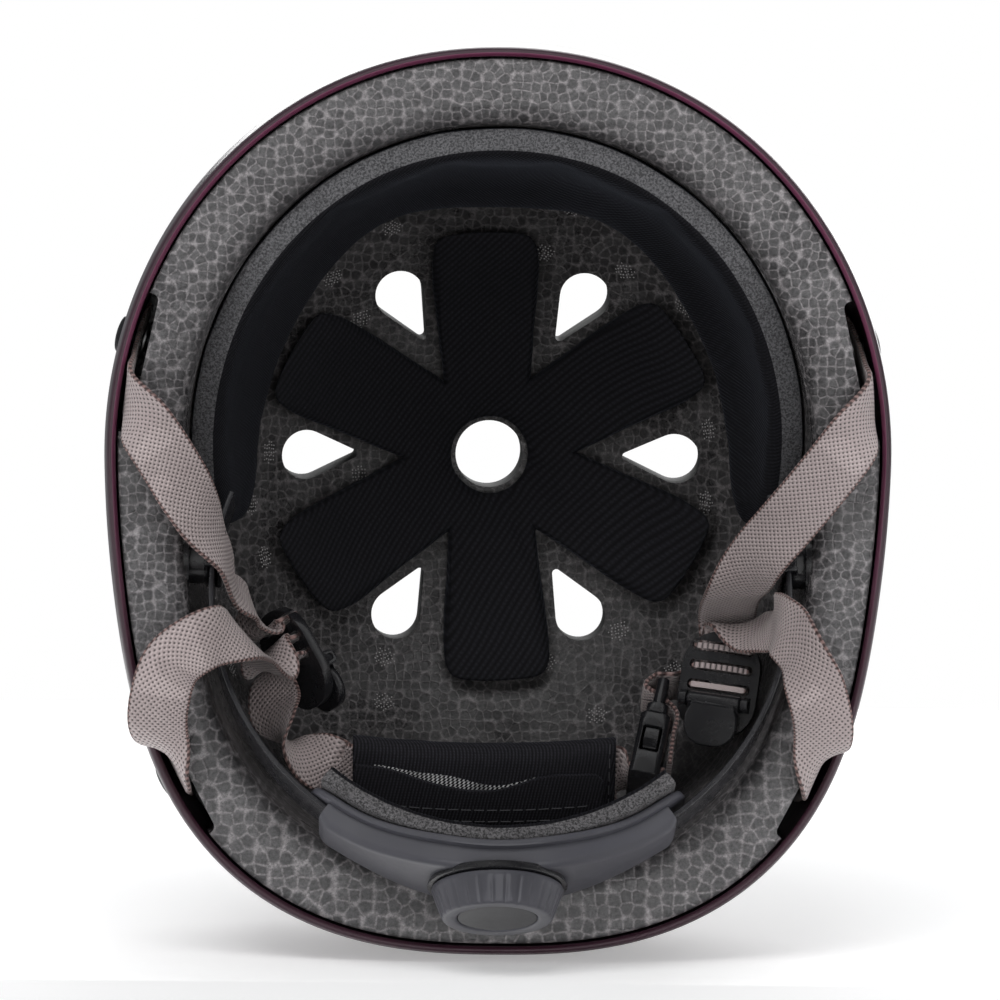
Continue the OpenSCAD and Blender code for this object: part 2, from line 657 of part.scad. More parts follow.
// Chin strap, from the left divider through the chin pad to the buckle
pad_place = [-2.6, 77.4, 33.7];
pad_sag = 2;
pad_tilt = [0, 0.94, 0.34];
function pad_centre(x) = pad_place + [x, -pad_sag * pow(2 * x / chin_pad_l, 2), 0];
module left_chin_strap() {
    ribbon([
        [in_left_divider([0, slots[2], divider_t / 2 + 1]), -left_across],
        [in_left_divider([0, slots[2], -divider_t / 2]), -left_across],
        [in_left_divider([0, slots[2], -6]), -left_across],
        [[-60, 55.5, 36.5], [0.9, -0.3, -0.4]],
        [[-59.5, 62, 33.5], [0.7, -0.1, -0.7]],
        [[-56.5, 68, 32.3], [0.2, 0.3, -1]],
        [[-51, 71.5, 32.3], [0, 0.8, -0.6]],
        [[-45, 73.6, 32.7], [0, 0.97, 0.05]],
        [pad_centre(-39.5), pad_tilt],
        [pad_centre(-32), pad_tilt],
        [pad_centre(-22), pad_tilt],
        [pad_centre(-10), pad_tilt],
        [pad_centre(8), pad_tilt],
        [pad_centre(26), pad_tilt],
        [pad_centre(31), pad_tilt],
        [pad_centre(34.4), pad_tilt],
        [pad_centre(36.4), pad_tilt],
        [in_buckle([0, socket_slot_y, -4.9]), across_buckle],
        [in_buckle([0, socket_slot_y, -1.5]), across_buckle],
        [in_buckle([0, socket_slot_y, buckle_t / 2 + 1.2]), across_buckle]]);
}

module chin_pad() {
    color(knit_black) loop_skin(concat(
        [for (k = [0:12]) pad_section(k / 12, chin_pad_h, chin_pad_t, 1)],
        [for (k = [12:-1:0]) pad_section(k / 12, web_w + tunnel_w, web_t + tunnel_t, 0)]));
}
tunnel_w = 4;
tunnel_t = 3.5;
section_steps = 16;
function pad_puff(s) = 0.62 + 0.38 * pow(sin(180 * (0.06 + 0.88 * s)), 0.5);
function pad_section(s, h, t, swell) =
    let (x = chin_pad_l * (s - 0.5),
         puff = swell ? pad_puff(s) : 1,
         c = pad_centre(x),
         up = pad_tilt,
         out = unit(cross([1, 0, 0], pad_tilt)))
    [for (i = [0:section_steps - 1])
        let (a = 360 * (i + 0.5) / section_steps,
             u = sign(cos(a)) * pow(abs(cos(a)), 0.6) * h / 2,
             v = sign(sin(a)) * pow(abs(sin(a)), 0.6) * t / 2 * puff)
        c + up * u + out * v];

flap_t = 1.2;
flap_start = -22;
flap_l = 52;
flap_h = 16;
flap_end_h = 12;
module chin_pad_flap() {
    color(knit_black) sleeve([for (k = [0:10])
        let (x = flap_start + flap_l * k / 10,
             c = pad_centre(x),
             out = unit(cross([1, 0, 0], pad_tilt)),
             z = chin_pad_t / 2 * pad_puff(x / chin_pad_l + 0.5) + near,
             h = k == 0 || k == 10 ? flap_end_h : flap_h)
        [c + pad_tilt * h / 2 - out * (z + flap_t), c + pad_tilt * h / 2 - out * z,
         c - pad_tilt * h / 2 - out * z, c - pad_tilt * h / 2 - out * (z + flap_t)]]);
}

// Side-release buckle: its own Y runs from the socket towards the tongue's bar
wall_b = 1.6;
prong_w = 3;
web_plate_t = 3.4;
web_plate_l = 8;
slot_clear = 1.5;
socket_slot_y = -socket_l + 3.8;
bar_y = stem_l - 0.8;
tongue_slot_y = stem_l - 3.9;
module at_buckle() { set_at(buckle_place, buckle_along, buckle_face) children(); }
module webbing_slot(y) {
    translate([-slot_l / 2, y - web_t / 2 - slot_clear, -buckle_t])
        cube([slot_l, web_t + 2 * slot_clear, 2 * buckle_t]);
}
module buckle_socket() {
    inner_w = buckle_w - 2 * wall_b;
    inner_t = buckle_t - 2 * wall_b;
    color(moulded_black) at_buckle() difference() {
        translate([0, -socket_l, 0]) rotate([-90, 0, 0])
            linear_extrude(socket_l) polygon(rounded(buckle_w, buckle_t, 2.4));
        translate([-inner_w / 2, -socket_l + 7, -inner_t / 2]) cube([inner_w, socket_l, inner_t]);
        for (side = [-1, 1])
            translate([side * buckle_w / 2 - 3, -socket_l + 7, -inner_t / 2]) cube([6, 7.5, inner_t]);
        webbing_slot(socket_slot_y);
    }
}
module buckle_tongue() {
    color(moulded_black) at_buckle() difference() {
        union() {
            translate([0, near, 0]) rotate([-90, 0, 0]) linear_extrude(stem_l - web_plate_l)
                polygon(rounded(buckle_w - 1, buckle_t - 2.4, 2));
            translate([0, near, 0]) rotate([-90, 0, 0]) linear_extrude(stem_l)
                polygon(rounded(buckle_w - 1, web_plate_t, 1.6));
            translate([-3, -socket_l + 8.5, -1.6]) cube([6, socket_l - 8, 3.2]);
        }
        webbing_slot(tongue_slot_y);
    }
}
module buckle_prongs() {
    arm_x = buckle_w / 2 - wall_b - near - prong_w / 2;
    color(moulded_black) at_buckle() for (side = [-1, 1]) {
        translate([side * arm_x, 0, 0]) {
            translate([-prong_w / 2, -socket_l + 8.5, -2]) cube([prong_w, socket_l - 8.5 + 0.2, 4]);
            translate([side * 1.2, 0, -2]) linear_extrude(4)
                polygon([[0, -socket_l + 8.5], [side * 2.6, -socket_l + 10.5],
                    [side * 2.6, -socket_l + 13.6], [0, -socket_l + 13.6]]);
        }
    }
}
// From the right divider over the tongue's bar, through its slot and on to the loose tail
module right_chin_strap() {
    side = buckle_t / 2 + near + web_t / 2;
    ribbon(concat([
        [in_right_divider([0, slots[2], divider_t / 2 + 1]), right_across],
        [in_right_divider([0, slots[2], -divider_t / 2]), right_across],
        [in_right_divider([0, slots[2] - 0.4, -5]), right_across],
        [in_right_divider([-2.5, -3, -8.5]), right_across + [0, 1, 0.1]],
        [in_right_divider([-6.5, -5, -11.5]), [0.1, 1, 0.3]],
        [[53.6, 53, 53], [0.1, 0.65, 0.75]]],
        [for (p = [[0, stem_l + 3.6, 1.5], [0, stem_l + 2.4, -2.6], [0, bar_y - 0.6, -side + 0.6],
            [0, tongue_slot_y, 0], [0, tongue_slot_y - 4, side], [0, -4, side + 0.3],
            [0, -13, side + 1]]) [in_buckle(p), across_buckle]]));
}

// Rear cradle, in its own frame: X across, Y out to the rear, Z up the lean
module in_cradle() {
    translate([0, cradle_y, cradle_z]) rotate([-cradle_lean, 0, 0]) children();
}
module sector(from, to) {
    rotate([0, 0, 90 - to]) rotate_extrude(angle = to - from, $fn = 128) children();
}
module wall_profile(r_in, r_out, h) {
    translate([r_in, -h / 2]) square([r_out - r_in, h]);
}
arm_round = 9;
hub_round = 16;
module cradle_outline(grow, shrink = 0) {
    rotate([-90, 0, 0]) linear_extrude(cradle_r + 4 * past) {
        polygon(rounded(2 * (cradle_r * sin(cradle_span) + grow - shrink), arm_h - 2 * shrink,
            arm_round - shrink));
        polygon(rounded(hub_w - 2 * shrink, hub_h - 2 * shrink, hub_round - shrink));
    }
}
left_in = cradle_r + layer_gap;
left_out = left_in + band_t;
right_in = left_out + layer_gap;
right_out = right_in + band_t;
cover_in = right_out + layer_gap;
cover_out = cover_in + cover_t;
dial_in = cover_out + near;
dial_out = dial_in + dial_depth;
pivot_r = 2;
cover_reach = 36;

module cradle_frame() {
    color(moulded_grey) in_cradle() difference() {
        intersection() {
            sector(-cradle_span, cradle_span) wall_profile(cradle_r - frame_t, cradle_r, hub_h + 2);
            cradle_outline(0);
        }
        rotate([-90, 0, 0]) cylinder(h = cradle_r + 10, r = pivot_r + touch, $fn = 48);
    }
}

// The cover is a channel over the bands, with a skirt all round that seats on the frame
skirt_t = 2.2;
module cradle_cover() {
    lip_in = band_h / 2 + near;
    color(moulded_grey) in_cradle() difference() {
        union() {
            intersection() {
                sector(-cover_reach, cover_reach) wall_profile(cover_in, cover_out, hub_h + 2);
                cradle_outline(-2);
            }
            difference() {
                intersection() {
                    sector(-cover_reach, cover_reach)
                        wall_profile(cradle_r + touch / 2, cover_in + 0.5, hub_h + 2);
                    cradle_outline(-2);
                }
                cradle_outline(-2, skirt_t);
                cylinder(h = 2 * lip_in, r = cover_out + past, center = true, $fn = 128);
            }
            difference() {
                rotate([-90, 0, 0]) cylinder(h = cover_out, r = dial_r - 1.5, $fn = 96);
                cylinder(h = 3 * hub_h, r = cover_in + 0.4, center = true, $fn = 128);
            }
        }
        rotate([-90, 0, 0]) cylinder(h = cover_out + 10, r = shaft_r + touch, $fn = 48);
    }
}

module cradle_strip() {
    r_out = cradle_r - frame_t - 0.2;
    color(knit_black) in_cradle() sector(-cradle_span + 1, cradle_span - 1)
        translate([r_out - strip_t / 2, -1.5]) polygon(rounded(strip_t, strip_h, 1.8));
}

// Bands: slotted racks that pass each other around the pinion
pitch = 2 * 180 * pinion_r / pinion_teeth * PI / 180;
backlash = 0.3;
flank = 0.36;
tip_h = 0.7;
root_h = 1.05;
window_half = pinion_r + root_h;
function rack_tooth(h0) = let (w = pitch / 4 - backlash / 2)
    [[-w - flank * h0, pinion_r + h0], [-w + flank * tip_h, pinion_r - tip_h],
     [w - flank * tip_h, pinion_r - tip_h], [w + flank * h0, pinion_r + h0]];
tip_r = pinion_r + 0.85;
function arc_of(length, r) = length / r * 180 / PI;
module band(r_in, r_out, half_step) {
    r_mid = (r_in + r_out) / 2;
    clear = arc_of(tip_r + 0.6, r_mid);
    difference() {
        sector(-band_reach, band_out + clear + 3) translate([r_mid, 0])
            polygon(rounded(band_t, band_h, 0.5));
        sector(-band_in - clear, band_out + clear)
            translate([r_in - cut, -window_half]) square([band_t + 2 * cut, 2 * window_half]);
    }
    step = arc_of(pitch, r_mid);
    for (k = [-floor((band_in + clear) / step):floor((band_out + clear) / step)])
        rotate([0, 0, -(k - half_step) * step]) translate([0, r_out - 0.1, 0]) rotate([90, 0, 0])
            linear_extrude(band_t - 0.25) polygon(rack_tooth(root_h + 0.4));
}
module left_band() {
    color(moulded_grey) in_cradle() band(left_in, left_out, 0);
}
module right_band() {
    color(moulded_grey) in_cradle() mirror([0, 0, 1]) mirror([1, 0, 0]) band(right_in, right_out, 0.5);
}

// Temple anchors: a loop around the band on a plug that turns in its socket
loop_wall = 1.2;
anchor_half = 4;
plug_start = 78;
socket_r = plug_r + 1.8;
socket_depth = plug_l;
socket_face = shell_w / 2 - cavity_inset - 1.6;
module at_temples() {
    for (side = [-1, 1]) in_cradle() translate([side * socket_face, anchor_y, 0])
        rotate([0, side * 90, 0]) children();
}
anchor_y = (left_in + right_out) / 2 * cos(anchor_angle);
module temple_anchor(r_in, r_out) {
    start = (r_out + layer_gap) * sin(anchor_angle);
    difference() {
        union() {
            sector(anchor_angle - anchor_half, anchor_angle + anchor_half)
                wall_profile(r_in - near - loop_wall, r_out + near + loop_wall,
                    band_h + 2 * (near + loop_wall));
            translate([start, anchor_y, 0]) rotate([0, 90, 0])
                cylinder(h = socket_face + socket_depth - cut - near - start, r = plug_r, $fn = 64);
        }
        sector(anchor_angle - anchor_half - 5, anchor_angle + anchor_half + 5)
            wall_profile(r_in - near, r_out + near, band_h + 2 * near);
    }
}
module left_temple_anchor() {
    color(moulded_black) in_cradle() mirror([1, 0, 0]) temple_anchor(left_in, left_out);
}
module right_temple_anchor() {
    color(moulded_black) in_cradle() temple_anchor(right_in, right_out);
}
module temple_sockets() {
    color(moulded_black) at_temples() difference() {
        cylinder(h = socket_depth, r = socket_r, $fn = 64);
        translate([0, 0, -cut]) cylinder(h = socket_depth, r = plug_r + touch, $fn = 64);
    }
}

// Dial: ribbed knob, cap, screw, pinion and the click spring behind it
recess_r = 12;
recess_h = 2;
cap_r = 10.5;
cap_t = 1;
cap_sink = 0.4;
clicks = 24;
click_r = 0.8;
rib_cut_w = 1.4;
rib_cut_d = 0.9;
head_r = 2.4;
head_h = 1.6;
thread_r = 1.2;
thread_l = 6;
shaft_in = 4.8;
module out_from(y) { rotate([-90, 0, 0]) translate([0, 0, y]) children(); }
module dial_knob() {
    color(moulded_grey) in_cradle() out_from(dial_in) difference() {
        cylinder(h = dial_depth, r1 = dial_r, r2 = dial_face_r, $fn = 96);
        for (i = [0:dial_ribs - 1]) rotate([0, 0, 360 * i / dial_ribs])
            translate([dial_r - rib_cut_d, -rib_cut_w / 2, -cut])
            rotate([0, -atan((dial_r - dial_face_r) / dial_depth), 0])
            cube([3 * rib_cut_d, rib_cut_w, dial_depth + 2 * cut]);
        translate([0, 0, -cut]) cylinder(h = recess_h + cut, r = recess_r, $fn = 64);
        for (i = [0:clicks - 1]) rotate([0, 0, 360 * i / clicks])
            translate([recess_r, 0, -cut]) cylinder(h = recess_h + cut, r = click_r, $fn = 16);
        translate([0, 0, dial_depth - cap_t - cap_sink - touch / 2])
            cylinder(h = 2 * cap_t, r = cap_r + touch, $fn = 64);
        cylinder(h = 3 * dial_depth, r = thread_r + touch, center = true, $fn = 32);
        cylinder(h = 2 * (shaft_in + touch), r = shaft_r + touch / 2, center = true, $fn = 48);
        translate([0, 0, dial_depth - cap_t - cap_sink - head_h - touch])
            cylinder(h = 2 * head_h, r = head_r + touch, $fn = 48);
    }
}
module dial_cap() {
    color(moulded_black) in_cradle() out_from(dial_out - cap_t - cap_sink)
        cylinder(h = cap_t, r = cap_r, $fn = 64);
}
head_seat = dial_out - cap_t - cap_sink - head_h;
module dial_screw() {
    color(steel) in_cradle() {
        out_from(head_seat) difference() {
            cylinder(h = head_h - touch, r = head_r, $fn = 48);
            for (r = [0, 90]) rotate([0, 0, r])
                translate([-head_r * 0.7, -0.3, head_h / 2]) cube([head_r * 1.4, 0.6, head_h]);
        }
        out_from(head_seat - thread_l) cylinder(h = thread_l + touch, r = thread_r, $fn = 32);
    }
}
function pinion_points() = [for (i = [0:pinion_teeth - 1]) for (p = [
        [pinion_r - 0.95, -0.55], [pinion_r, -0.5], [tip_r, -0.2], [tip_r, 0.2], [pinion_r, 0.5],
        [pinion_r - 0.95, 0.55]])
    let (a = 90 + 360 * (i + 0.5) / pinion_teeth + arc_of(p[1], p[0]))
    [p[0] * cos(a), p[0] * sin(a)]];
module dial_pinion() {
    color("#d8d5cc") in_cradle() difference() {
        union() {
            out_from(left_in) mirror([0, 1, 0]) linear_extrude(right_out - left_in + touch)
                polygon(pinion_points());
            out_from(right_out) cylinder(h = dial_in + shaft_in - right_out, r = shaft_r, $fn = 48);
            out_from(cradle_r - frame_t + touch)
                cylinder(h = frame_t + near + touch, r = pivot_r, $fn = 48);
        }
        out_from(head_seat - thread_l - 2 * touch)
            cylinder(h = 2 * thread_l, r = thread_r + touch / 2, $fn = 32);
    }
}
spring_t = 1.2;
spring_r = 7.4;
spring_tip_r = 0.6;
module detent_spring() {
    tip_at = recess_r - spring_tip_r - 0.5;
    color(steel) in_cradle() out_from(cover_out + 0.02) {
        difference() {
            cylinder(h = spring_t, r = spring_r, $fn = 64);
            translate([0, 0, -cut]) cylinder(h = spring_t + 2 * cut, r = spring_r - spring_t, $fn = 64);
        }
        for (side = [0, 180]) rotate([0, 0, side]) {
            translate([spring_r - spring_t / 2, -spring_tip_r, 0])
                cube([tip_at - spring_r + spring_t / 2, 2 * spring_tip_r, spring_t]);
            translate([tip_at, 0, 0]) cylinder(h = spring_t, r = spring_tip_r, $fn = 24);
        }
    }
}

outer_shell();
foam_liner();
strap_rivets();
rivet_washers();
crown_pad();
crown_pad_hooks();
brow_pad();
brow_pad_hooks();
left_front_strap();
left_rear_strap();
right_front_strap();
right_rear_strap();
left_divider();
right_divider();
left_divider_lever();
right_divider_lever();
left_lever_pin();
right_lever_pin();
left_chin_strap();
right_chin_strap();
chin_pad();
chin_pad_flap();
buckle_socket();
buckle_tongue();
buckle_prongs();
cradle_frame();
cradle_cover();
cradle_strip();
left_band();
right_band();
left_temple_anchor();
right_temple_anchor();
temple_sockets();
dial_knob();
dial_cap();
dial_screw();
dial_pinion();
detent_spring();
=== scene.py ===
# %% [markdown]
# # A skate helmet, seen into its open side
# The solids of the helmet come in as a fixed frame, in metres: the crown is +Z, the brow is -Y and
# the photograph's right is +X. This script dresses them: smooth skins where the solids are coarse,
# soft pieces as cloth, and a procedural finish on every surface.

# %% Load the frame
import math

import bmesh
import bpy
from mathutils import Matrix, Vector, noise


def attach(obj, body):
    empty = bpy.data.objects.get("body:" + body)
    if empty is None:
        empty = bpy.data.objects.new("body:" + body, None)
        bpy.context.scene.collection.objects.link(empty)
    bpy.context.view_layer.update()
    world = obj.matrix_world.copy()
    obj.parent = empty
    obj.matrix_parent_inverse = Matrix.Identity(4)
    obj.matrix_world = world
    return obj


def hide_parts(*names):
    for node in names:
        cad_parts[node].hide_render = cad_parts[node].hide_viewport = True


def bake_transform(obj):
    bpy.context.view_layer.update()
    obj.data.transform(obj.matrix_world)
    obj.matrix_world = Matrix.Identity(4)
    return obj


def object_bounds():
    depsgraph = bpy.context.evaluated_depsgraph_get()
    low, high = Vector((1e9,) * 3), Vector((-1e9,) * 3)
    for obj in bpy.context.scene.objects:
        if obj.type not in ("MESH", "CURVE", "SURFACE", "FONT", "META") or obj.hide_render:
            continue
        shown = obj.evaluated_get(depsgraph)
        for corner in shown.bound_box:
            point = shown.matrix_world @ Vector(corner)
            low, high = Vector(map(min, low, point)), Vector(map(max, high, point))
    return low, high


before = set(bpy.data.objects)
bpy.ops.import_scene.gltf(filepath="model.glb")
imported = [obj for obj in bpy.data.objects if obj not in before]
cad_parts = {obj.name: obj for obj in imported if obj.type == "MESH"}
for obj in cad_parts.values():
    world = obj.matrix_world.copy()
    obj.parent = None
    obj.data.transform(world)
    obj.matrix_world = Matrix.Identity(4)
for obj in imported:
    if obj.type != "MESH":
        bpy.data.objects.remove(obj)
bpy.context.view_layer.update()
MM = 0.001

# %% [markdown]
# ## The camera
# The photograph looks into the helmet from about 1.45 m away, a little from the brow's side. A
# long lens on a camera below the helmet gives the same view; its up direction is the brow.

# %% Camera
AIM = Vector((0, 0, 45)) * MM
AIM_SHARE = (0.4955, 0.4945)
AIM_DISTANCE, LENS_PER_WIDTH, SENSOR = 1.45, 5.272, 36
LEAN_X, LEAN_Y, ROLL = (math.radians(angle) for angle in (1.6, 3.0, 0.7))
view_from = Vector((math.tan(LEAN_X), math.tan(LEAN_Y), 1)).normalized()
camera_data = bpy.data.cameras.new("camera")
camera = bpy.data.objects.new("camera", camera_data)
bpy.context.scene.collection.objects.link(camera)
bpy.context.scene.camera = camera
camera_data.sensor_width = SENSOR
camera_data.lens = SENSOR * LENS_PER_WIDTH
camera_data.dof.use_dof = False
level_up = Vector((0, -1, 0))
level_up = (level_up - level_up.dot(view_from) * view_from).normalized()
level_right = view_from.cross(level_up)
right = level_right * math.cos(ROLL) + level_up * math.sin(ROLL)
up = level_up * math.cos(ROLL) - level_right * math.sin(ROLL)
turned = Matrix((right, up, -view_from)).transposed().to_4x4()
turned.translation = AIM - view_from * AIM_DISTANCE
camera.matrix_world = turned
camera_data.shift_x = 0.5 - AIM_SHARE[0]
camera_data.shift_y = AIM_SHARE[1] - 0.5
print("camera", [round(c, 3) for c in camera.location])

# %% [markdown]
# ## Floor, backdrop and light
# The helmet stands on a pale table. For the photograph it was stood on its rear edge, so a second
# pale surface lies behind it, and the soft shadow at the foot of the picture falls there. Both are
# seen from their front only, so the camera below the helmet looks straight through the table.

# %% Node helper and stage surfaces
def add(tree, kind, inputs=None, **settings):
    """Adds a node to a tree, sets it up, and fills or links its inputs."""
    made = tree.nodes.new(kind)
    for key, value in settings.items():
        setattr(made, key, value)
    for key, value in (inputs or {}).items():
        if isinstance(value, bpy.types.NodeSocket):
            tree.links.new(value, made.inputs[key])
        else:
            made.inputs[key].default_value = value
    return made


def empty_material(name):
    material = bpy.data.materials.new(name)
    material.use_nodes = True
    material.node_tree.nodes.clear()
    return material, material.node_tree


def stage_material():
    """White where it is lit and seen from its front, and clear from behind and for shadows."""
    material, tree = empty_material("stage_pale")
    path = add(tree, "ShaderNodeLightPath")
    face = add(tree, "ShaderNodeNewGeometry")
    paint = add(tree, "ShaderNodeBsdfDiffuse", {"Color": (0.84, 0.84, 0.84, 1)})
    glow = add(tree, "ShaderNodeEmission", {"Color": (1, 1, 1, 1), "Strength": 0.3})
    lit = add(tree, "ShaderNodeAddShader", {0: paint.outputs[0], 1: glow.outputs[0]})
    seen = add(tree, "ShaderNodeMixShader", {0: path.outputs["Is Camera Ray"], 1: paint.outputs[0],
                                             2: lit.outputs[0]})
    clear = add(tree, "ShaderNodeBsdfTransparent")
    gone = add(tree, "ShaderNodeMath", {0: face.outputs["Backfacing"],
                                        1: path.outputs["Is Shadow Ray"]}, operation="MAXIMUM")
    mix = add(tree, "ShaderNodeMixShader", {0: gone.outputs[0], 1: seen.outputs[0],
                                            2: clear.outputs[0]})
    add(tree, "ShaderNodeOutputMaterial", {"Surface": mix.outputs[0]})
    return material


STAGE = stage_material()


def stage_plane(name, centre, across, along):
    """A flat surface whose front faces across x along."""
    mesh = bpy.data.meshes.new(name)
    corners = [centre + across * i + along * j for i, j in ((-1, -1), (1, -1), (1, 1), (-1, 1))]
    mesh.from_pydata(corners, [], [(0, 1, 2, 3)])
    mesh.materials.append(STAGE)
    plane = bpy.data.objects.new(name, mesh)
    bpy.context.scene.collection.objects.link(plane)


low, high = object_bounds()
STAGE_GAP = 0.0006
stage_plane("table_top", Vector((0, 0, low.z - STAGE_GAP)), Vector((1.6, 0, 0)),
            Vector((0, 1.6, 0)))
stage_plane("backdrop", Vector((0, high.y + STAGE_GAP, 0.2)), Vector((0.9, 0, 0)),
            Vector((0, 0, 0.55)))
print("table at z", round(low.z, 4), "backdrop at y", round(high.y, 4))

# %% World and lamps
world = bpy.data.worlds.new("studio")
bpy.context.scene.world = world
world.use_nodes = True
world.node_tree.nodes.clear()
sky = world.node_tree
path = add(sky, "ShaderNodeLightPath")
ambient = add(sky, "ShaderNodeBackground", {"Color": (0.95, 0.97, 1, 1), "Strength": 0.24})
white = add(sky, "ShaderNodeBackground", {"Color": (1, 1, 1, 1), "Strength": 1.0})
direct = add(sky, "ShaderNodeMath", {0: path.outputs["Is Camera Ray"],
                                     1: path.outputs["Is Transmission Ray"]}, operation="MAXIMUM")
shown = add(sky, "ShaderNodeMixShader", {0: direct.outputs[0], 1: ambient.outputs[0],
                                         2: white.outputs[0]})
add(sky, "ShaderNodeOutputWorld", {"Surface": shown.outputs[0]})

HEART = Vector((0, 0, 0.06))
LAMPS = [("brow", (-0.25, -0.95, -0.75), (0.9, 0.6), 9),
         ("left", (-0.95, 0.1, -0.7), (0.6, 0.9), 5.5),
         ("right", (0.95, 0.0, -0.7), (0.6, 0.9), 5.5),
         ("low", (0.1, 0.15, -1.5), (0.7, 0.7), 6.5),
         ("top", (0.3, -0.6, 1.3), (1.2, 1.2), 14),
         ("rear", (-0.4, 1.3, 0.7), (1.0, 1.0), 10)]
for name, place, size, power in LAMPS:
    data = bpy.data.lights.new("soft_box_" + name, "AREA")
    data.shape = "RECTANGLE"
    data.size, data.size_y = size
    data.energy = power
    made = bpy.data.objects.new(data.name, data)
    bpy.context.scene.collection.objects.link(made)
    made.location = place
    made.rotation_mode = "QUATERNION"
    made.rotation_quaternion = (HEART - made.location).to_track_quat("-Z", "Y")
bpy.context.scene.view_settings.view_transform = "Standard"

# %% [markdown]
# ## The helmet's own surfaces
# Shell, foam and pads all follow a few rules: an egg-shaped plan about the crown vent, a rim that
# rises over the ears, and domes above it. Writing those rules once lets every piece lie exactly on
# the next one.

# %% Plan, rim and domes, in millimetres
SHELL_W, SHELL_FRONT, SHELL_REAR, SHELL_H = 214, 115, 131, 150
SHELL_WALL, FOAM_GAP, FOAM_RIM, FOAM_CROWN = 3, 0.4, 19, 29
WAIST_Z, RIM_TUCK, RIM_BROW_Z, EAR_ARCH, EAR_PINCH, CROWN_Y = 28, 1.6, 8, 5, 2, -8
CAVITY_WAIST_Z = 14
REAR_POWER, FRONT_POWER, DOME_POWER, CAVITY_POWER = 2.55, 2.08, 2.3, 2.2
CAVITY_INSET = SHELL_WALL + FOAM_GAP + FOAM_RIM
CAVITY_TOP = SHELL_H - SHELL_WALL - FOAM_GAP - FOAM_CROWN
CROWN_VENT_R, VENT_RING_R, VENT_TIP_R, VENT_R, VENT_STEP = 9.5, 52.5, 36, 7, 1.5


def sin_d(a):
    return math.sin(math.radians(a))


def cos_d(a):
    return math.cos(math.radians(a))


def side_angle(a):
    return abs((a % 360 + 540) % 360 - 180)


def bell(x, width):
    return math.exp(-((x / width) ** 2))


def plan_r(a, inset):
    """Radius of the plan about the crown vent, at an angle from the rear towards +X."""
    rear = side_angle(a) < 90
    power = REAR_POWER if rear else FRONT_POWER
    reach = (SHELL_REAR if rear else SHELL_FRONT) - inset
    return ((abs(sin_d(a)) / (SHELL_W / 2 - inset)) ** power
            + (abs(cos_d(a)) / reach) ** power) ** (-1 / power)


def rim_z(a):
    return RIM_BROW_Z * (1 - cos_d(a)) / 2 + EAR_ARCH * bell(side_angle(a) - 78, 24)


def pinch(a):
    return EAR_PINCH * bell(side_angle(a) - 66, 20)


def plan_point(a, r, z):
    return Vector((r * sin_d(a), CROWN_Y + r * cos_d(a), z))


def wall_share(a, z):
    s = (z - rim_z(a)) / (WAIST_Z - rim_z(a))
    return 1 - RIM_TUCK / (SHELL_W / 2) * (1 - max(min(s, 1), 0)) ** 2


def wall_point(a, inset, z):
    return plan_point(a, (plan_r(a, inset) - pinch(a)) * wall_share(a, z), z)


def dome_point(a, t, inset):
    """A point of the shell's upper surface: t runs from 0 at its widest ring to 90 at the crown."""
    r = (plan_r(a, inset) - (1 - t / 90) * pinch(a)) * max(cos_d(t), 0) ** (2 / DOME_POWER)
    z = WAIST_Z + (SHELL_H - inset - WAIST_Z) * sin_d(t) ** (2 / DOME_POWER)
    return plan_point(a, r, z)


def ceiling_point(a, share, inset):
    height = CAVITY_TOP - inset - CAVITY_WAIST_Z
    return plan_point(a, plan_r(a, CAVITY_INSET + inset) * share,
                      CAVITY_WAIST_Z + height * (1 - share ** CAVITY_POWER) ** (1 / CAVITY_POWER))


def cavity_share(z, inset):
    if z <= CAVITY_WAIST_Z:
        return 1.0
    return (1 - ((z - CAVITY_WAIST_Z) / (CAVITY_TOP - inset - CAVITY_WAIST_Z)) ** CAVITY_POWER
            ) ** (1 / CAVITY_POWER)


def cavity_wall(a, z, inset):
    return plan_point(a, plan_r(a, CAVITY_INSET + inset) * cavity_share(z, inset), z)


print("cavity", 2 * (SHELL_W / 2 - CAVITY_INSET), "mm wide,", CAVITY_TOP, "mm deep")

# %% [markdown]
# ## Making a skin
# Most pieces are a stack of rings joined by quads. One helper does that for all of them, closes
# their ends, welds what meets at a pole and keeps the faces outwards. Another names the piece's
# body, its finish and the solid that it stands for.

# %% Mesh helpers
WELD = 0.000004


def ring_faces(count, rings, looped=False):
    """Quads between closed rings of points, with flat ends or the last ring joined to the first."""
    faces = [(j * count + i, j * count + (i + 1) % count,
              (j + 1) % rings * count + (i + 1) % count, (j + 1) % rings * count + i)
             for j in range(rings if looped else rings - 1) for i in range(count)]
    ends = [tuple(reversed(range(count))), tuple(range(count * (rings - 1), count * rings))]
    return faces if looped else faces + ends


def rebuilt(source, result, weld=0.0, flat_angle=0.0):
    """Copies a mesh with near points welded, and flat faces merged or all faces turned outwards."""
    work = bmesh.new()
    work.from_mesh(source)
    if weld:
        bmesh.ops.remove_doubles(work, verts=work.verts, dist=weld)
    if flat_angle:
        bmesh.ops.dissolve_limit(work, angle_limit=math.radians(flat_angle), verts=work.verts,
                                 edges=work.edges)
    else:
        bmesh.ops.recalc_face_normals(work, faces=work.faces)
    work.to_mesh(result)
    work.free()
    return result


def skin_mesh(name, rings, looped=False):
    """A mesh over closed rings, in millimetres."""
    mesh = bpy.data.meshes.new(name)
    mesh.from_pydata([Vector(p) * MM for ring in rings for p in ring], [],
                     ring_faces(len(rings[0]), len(rings), looped))
    return rebuilt(mesh, mesh, weld=WELD)


def smooth(mesh, angle):
    mesh.shade_smooth()
    mesh.set_sharp_from_angle(angle=math.radians(angle))


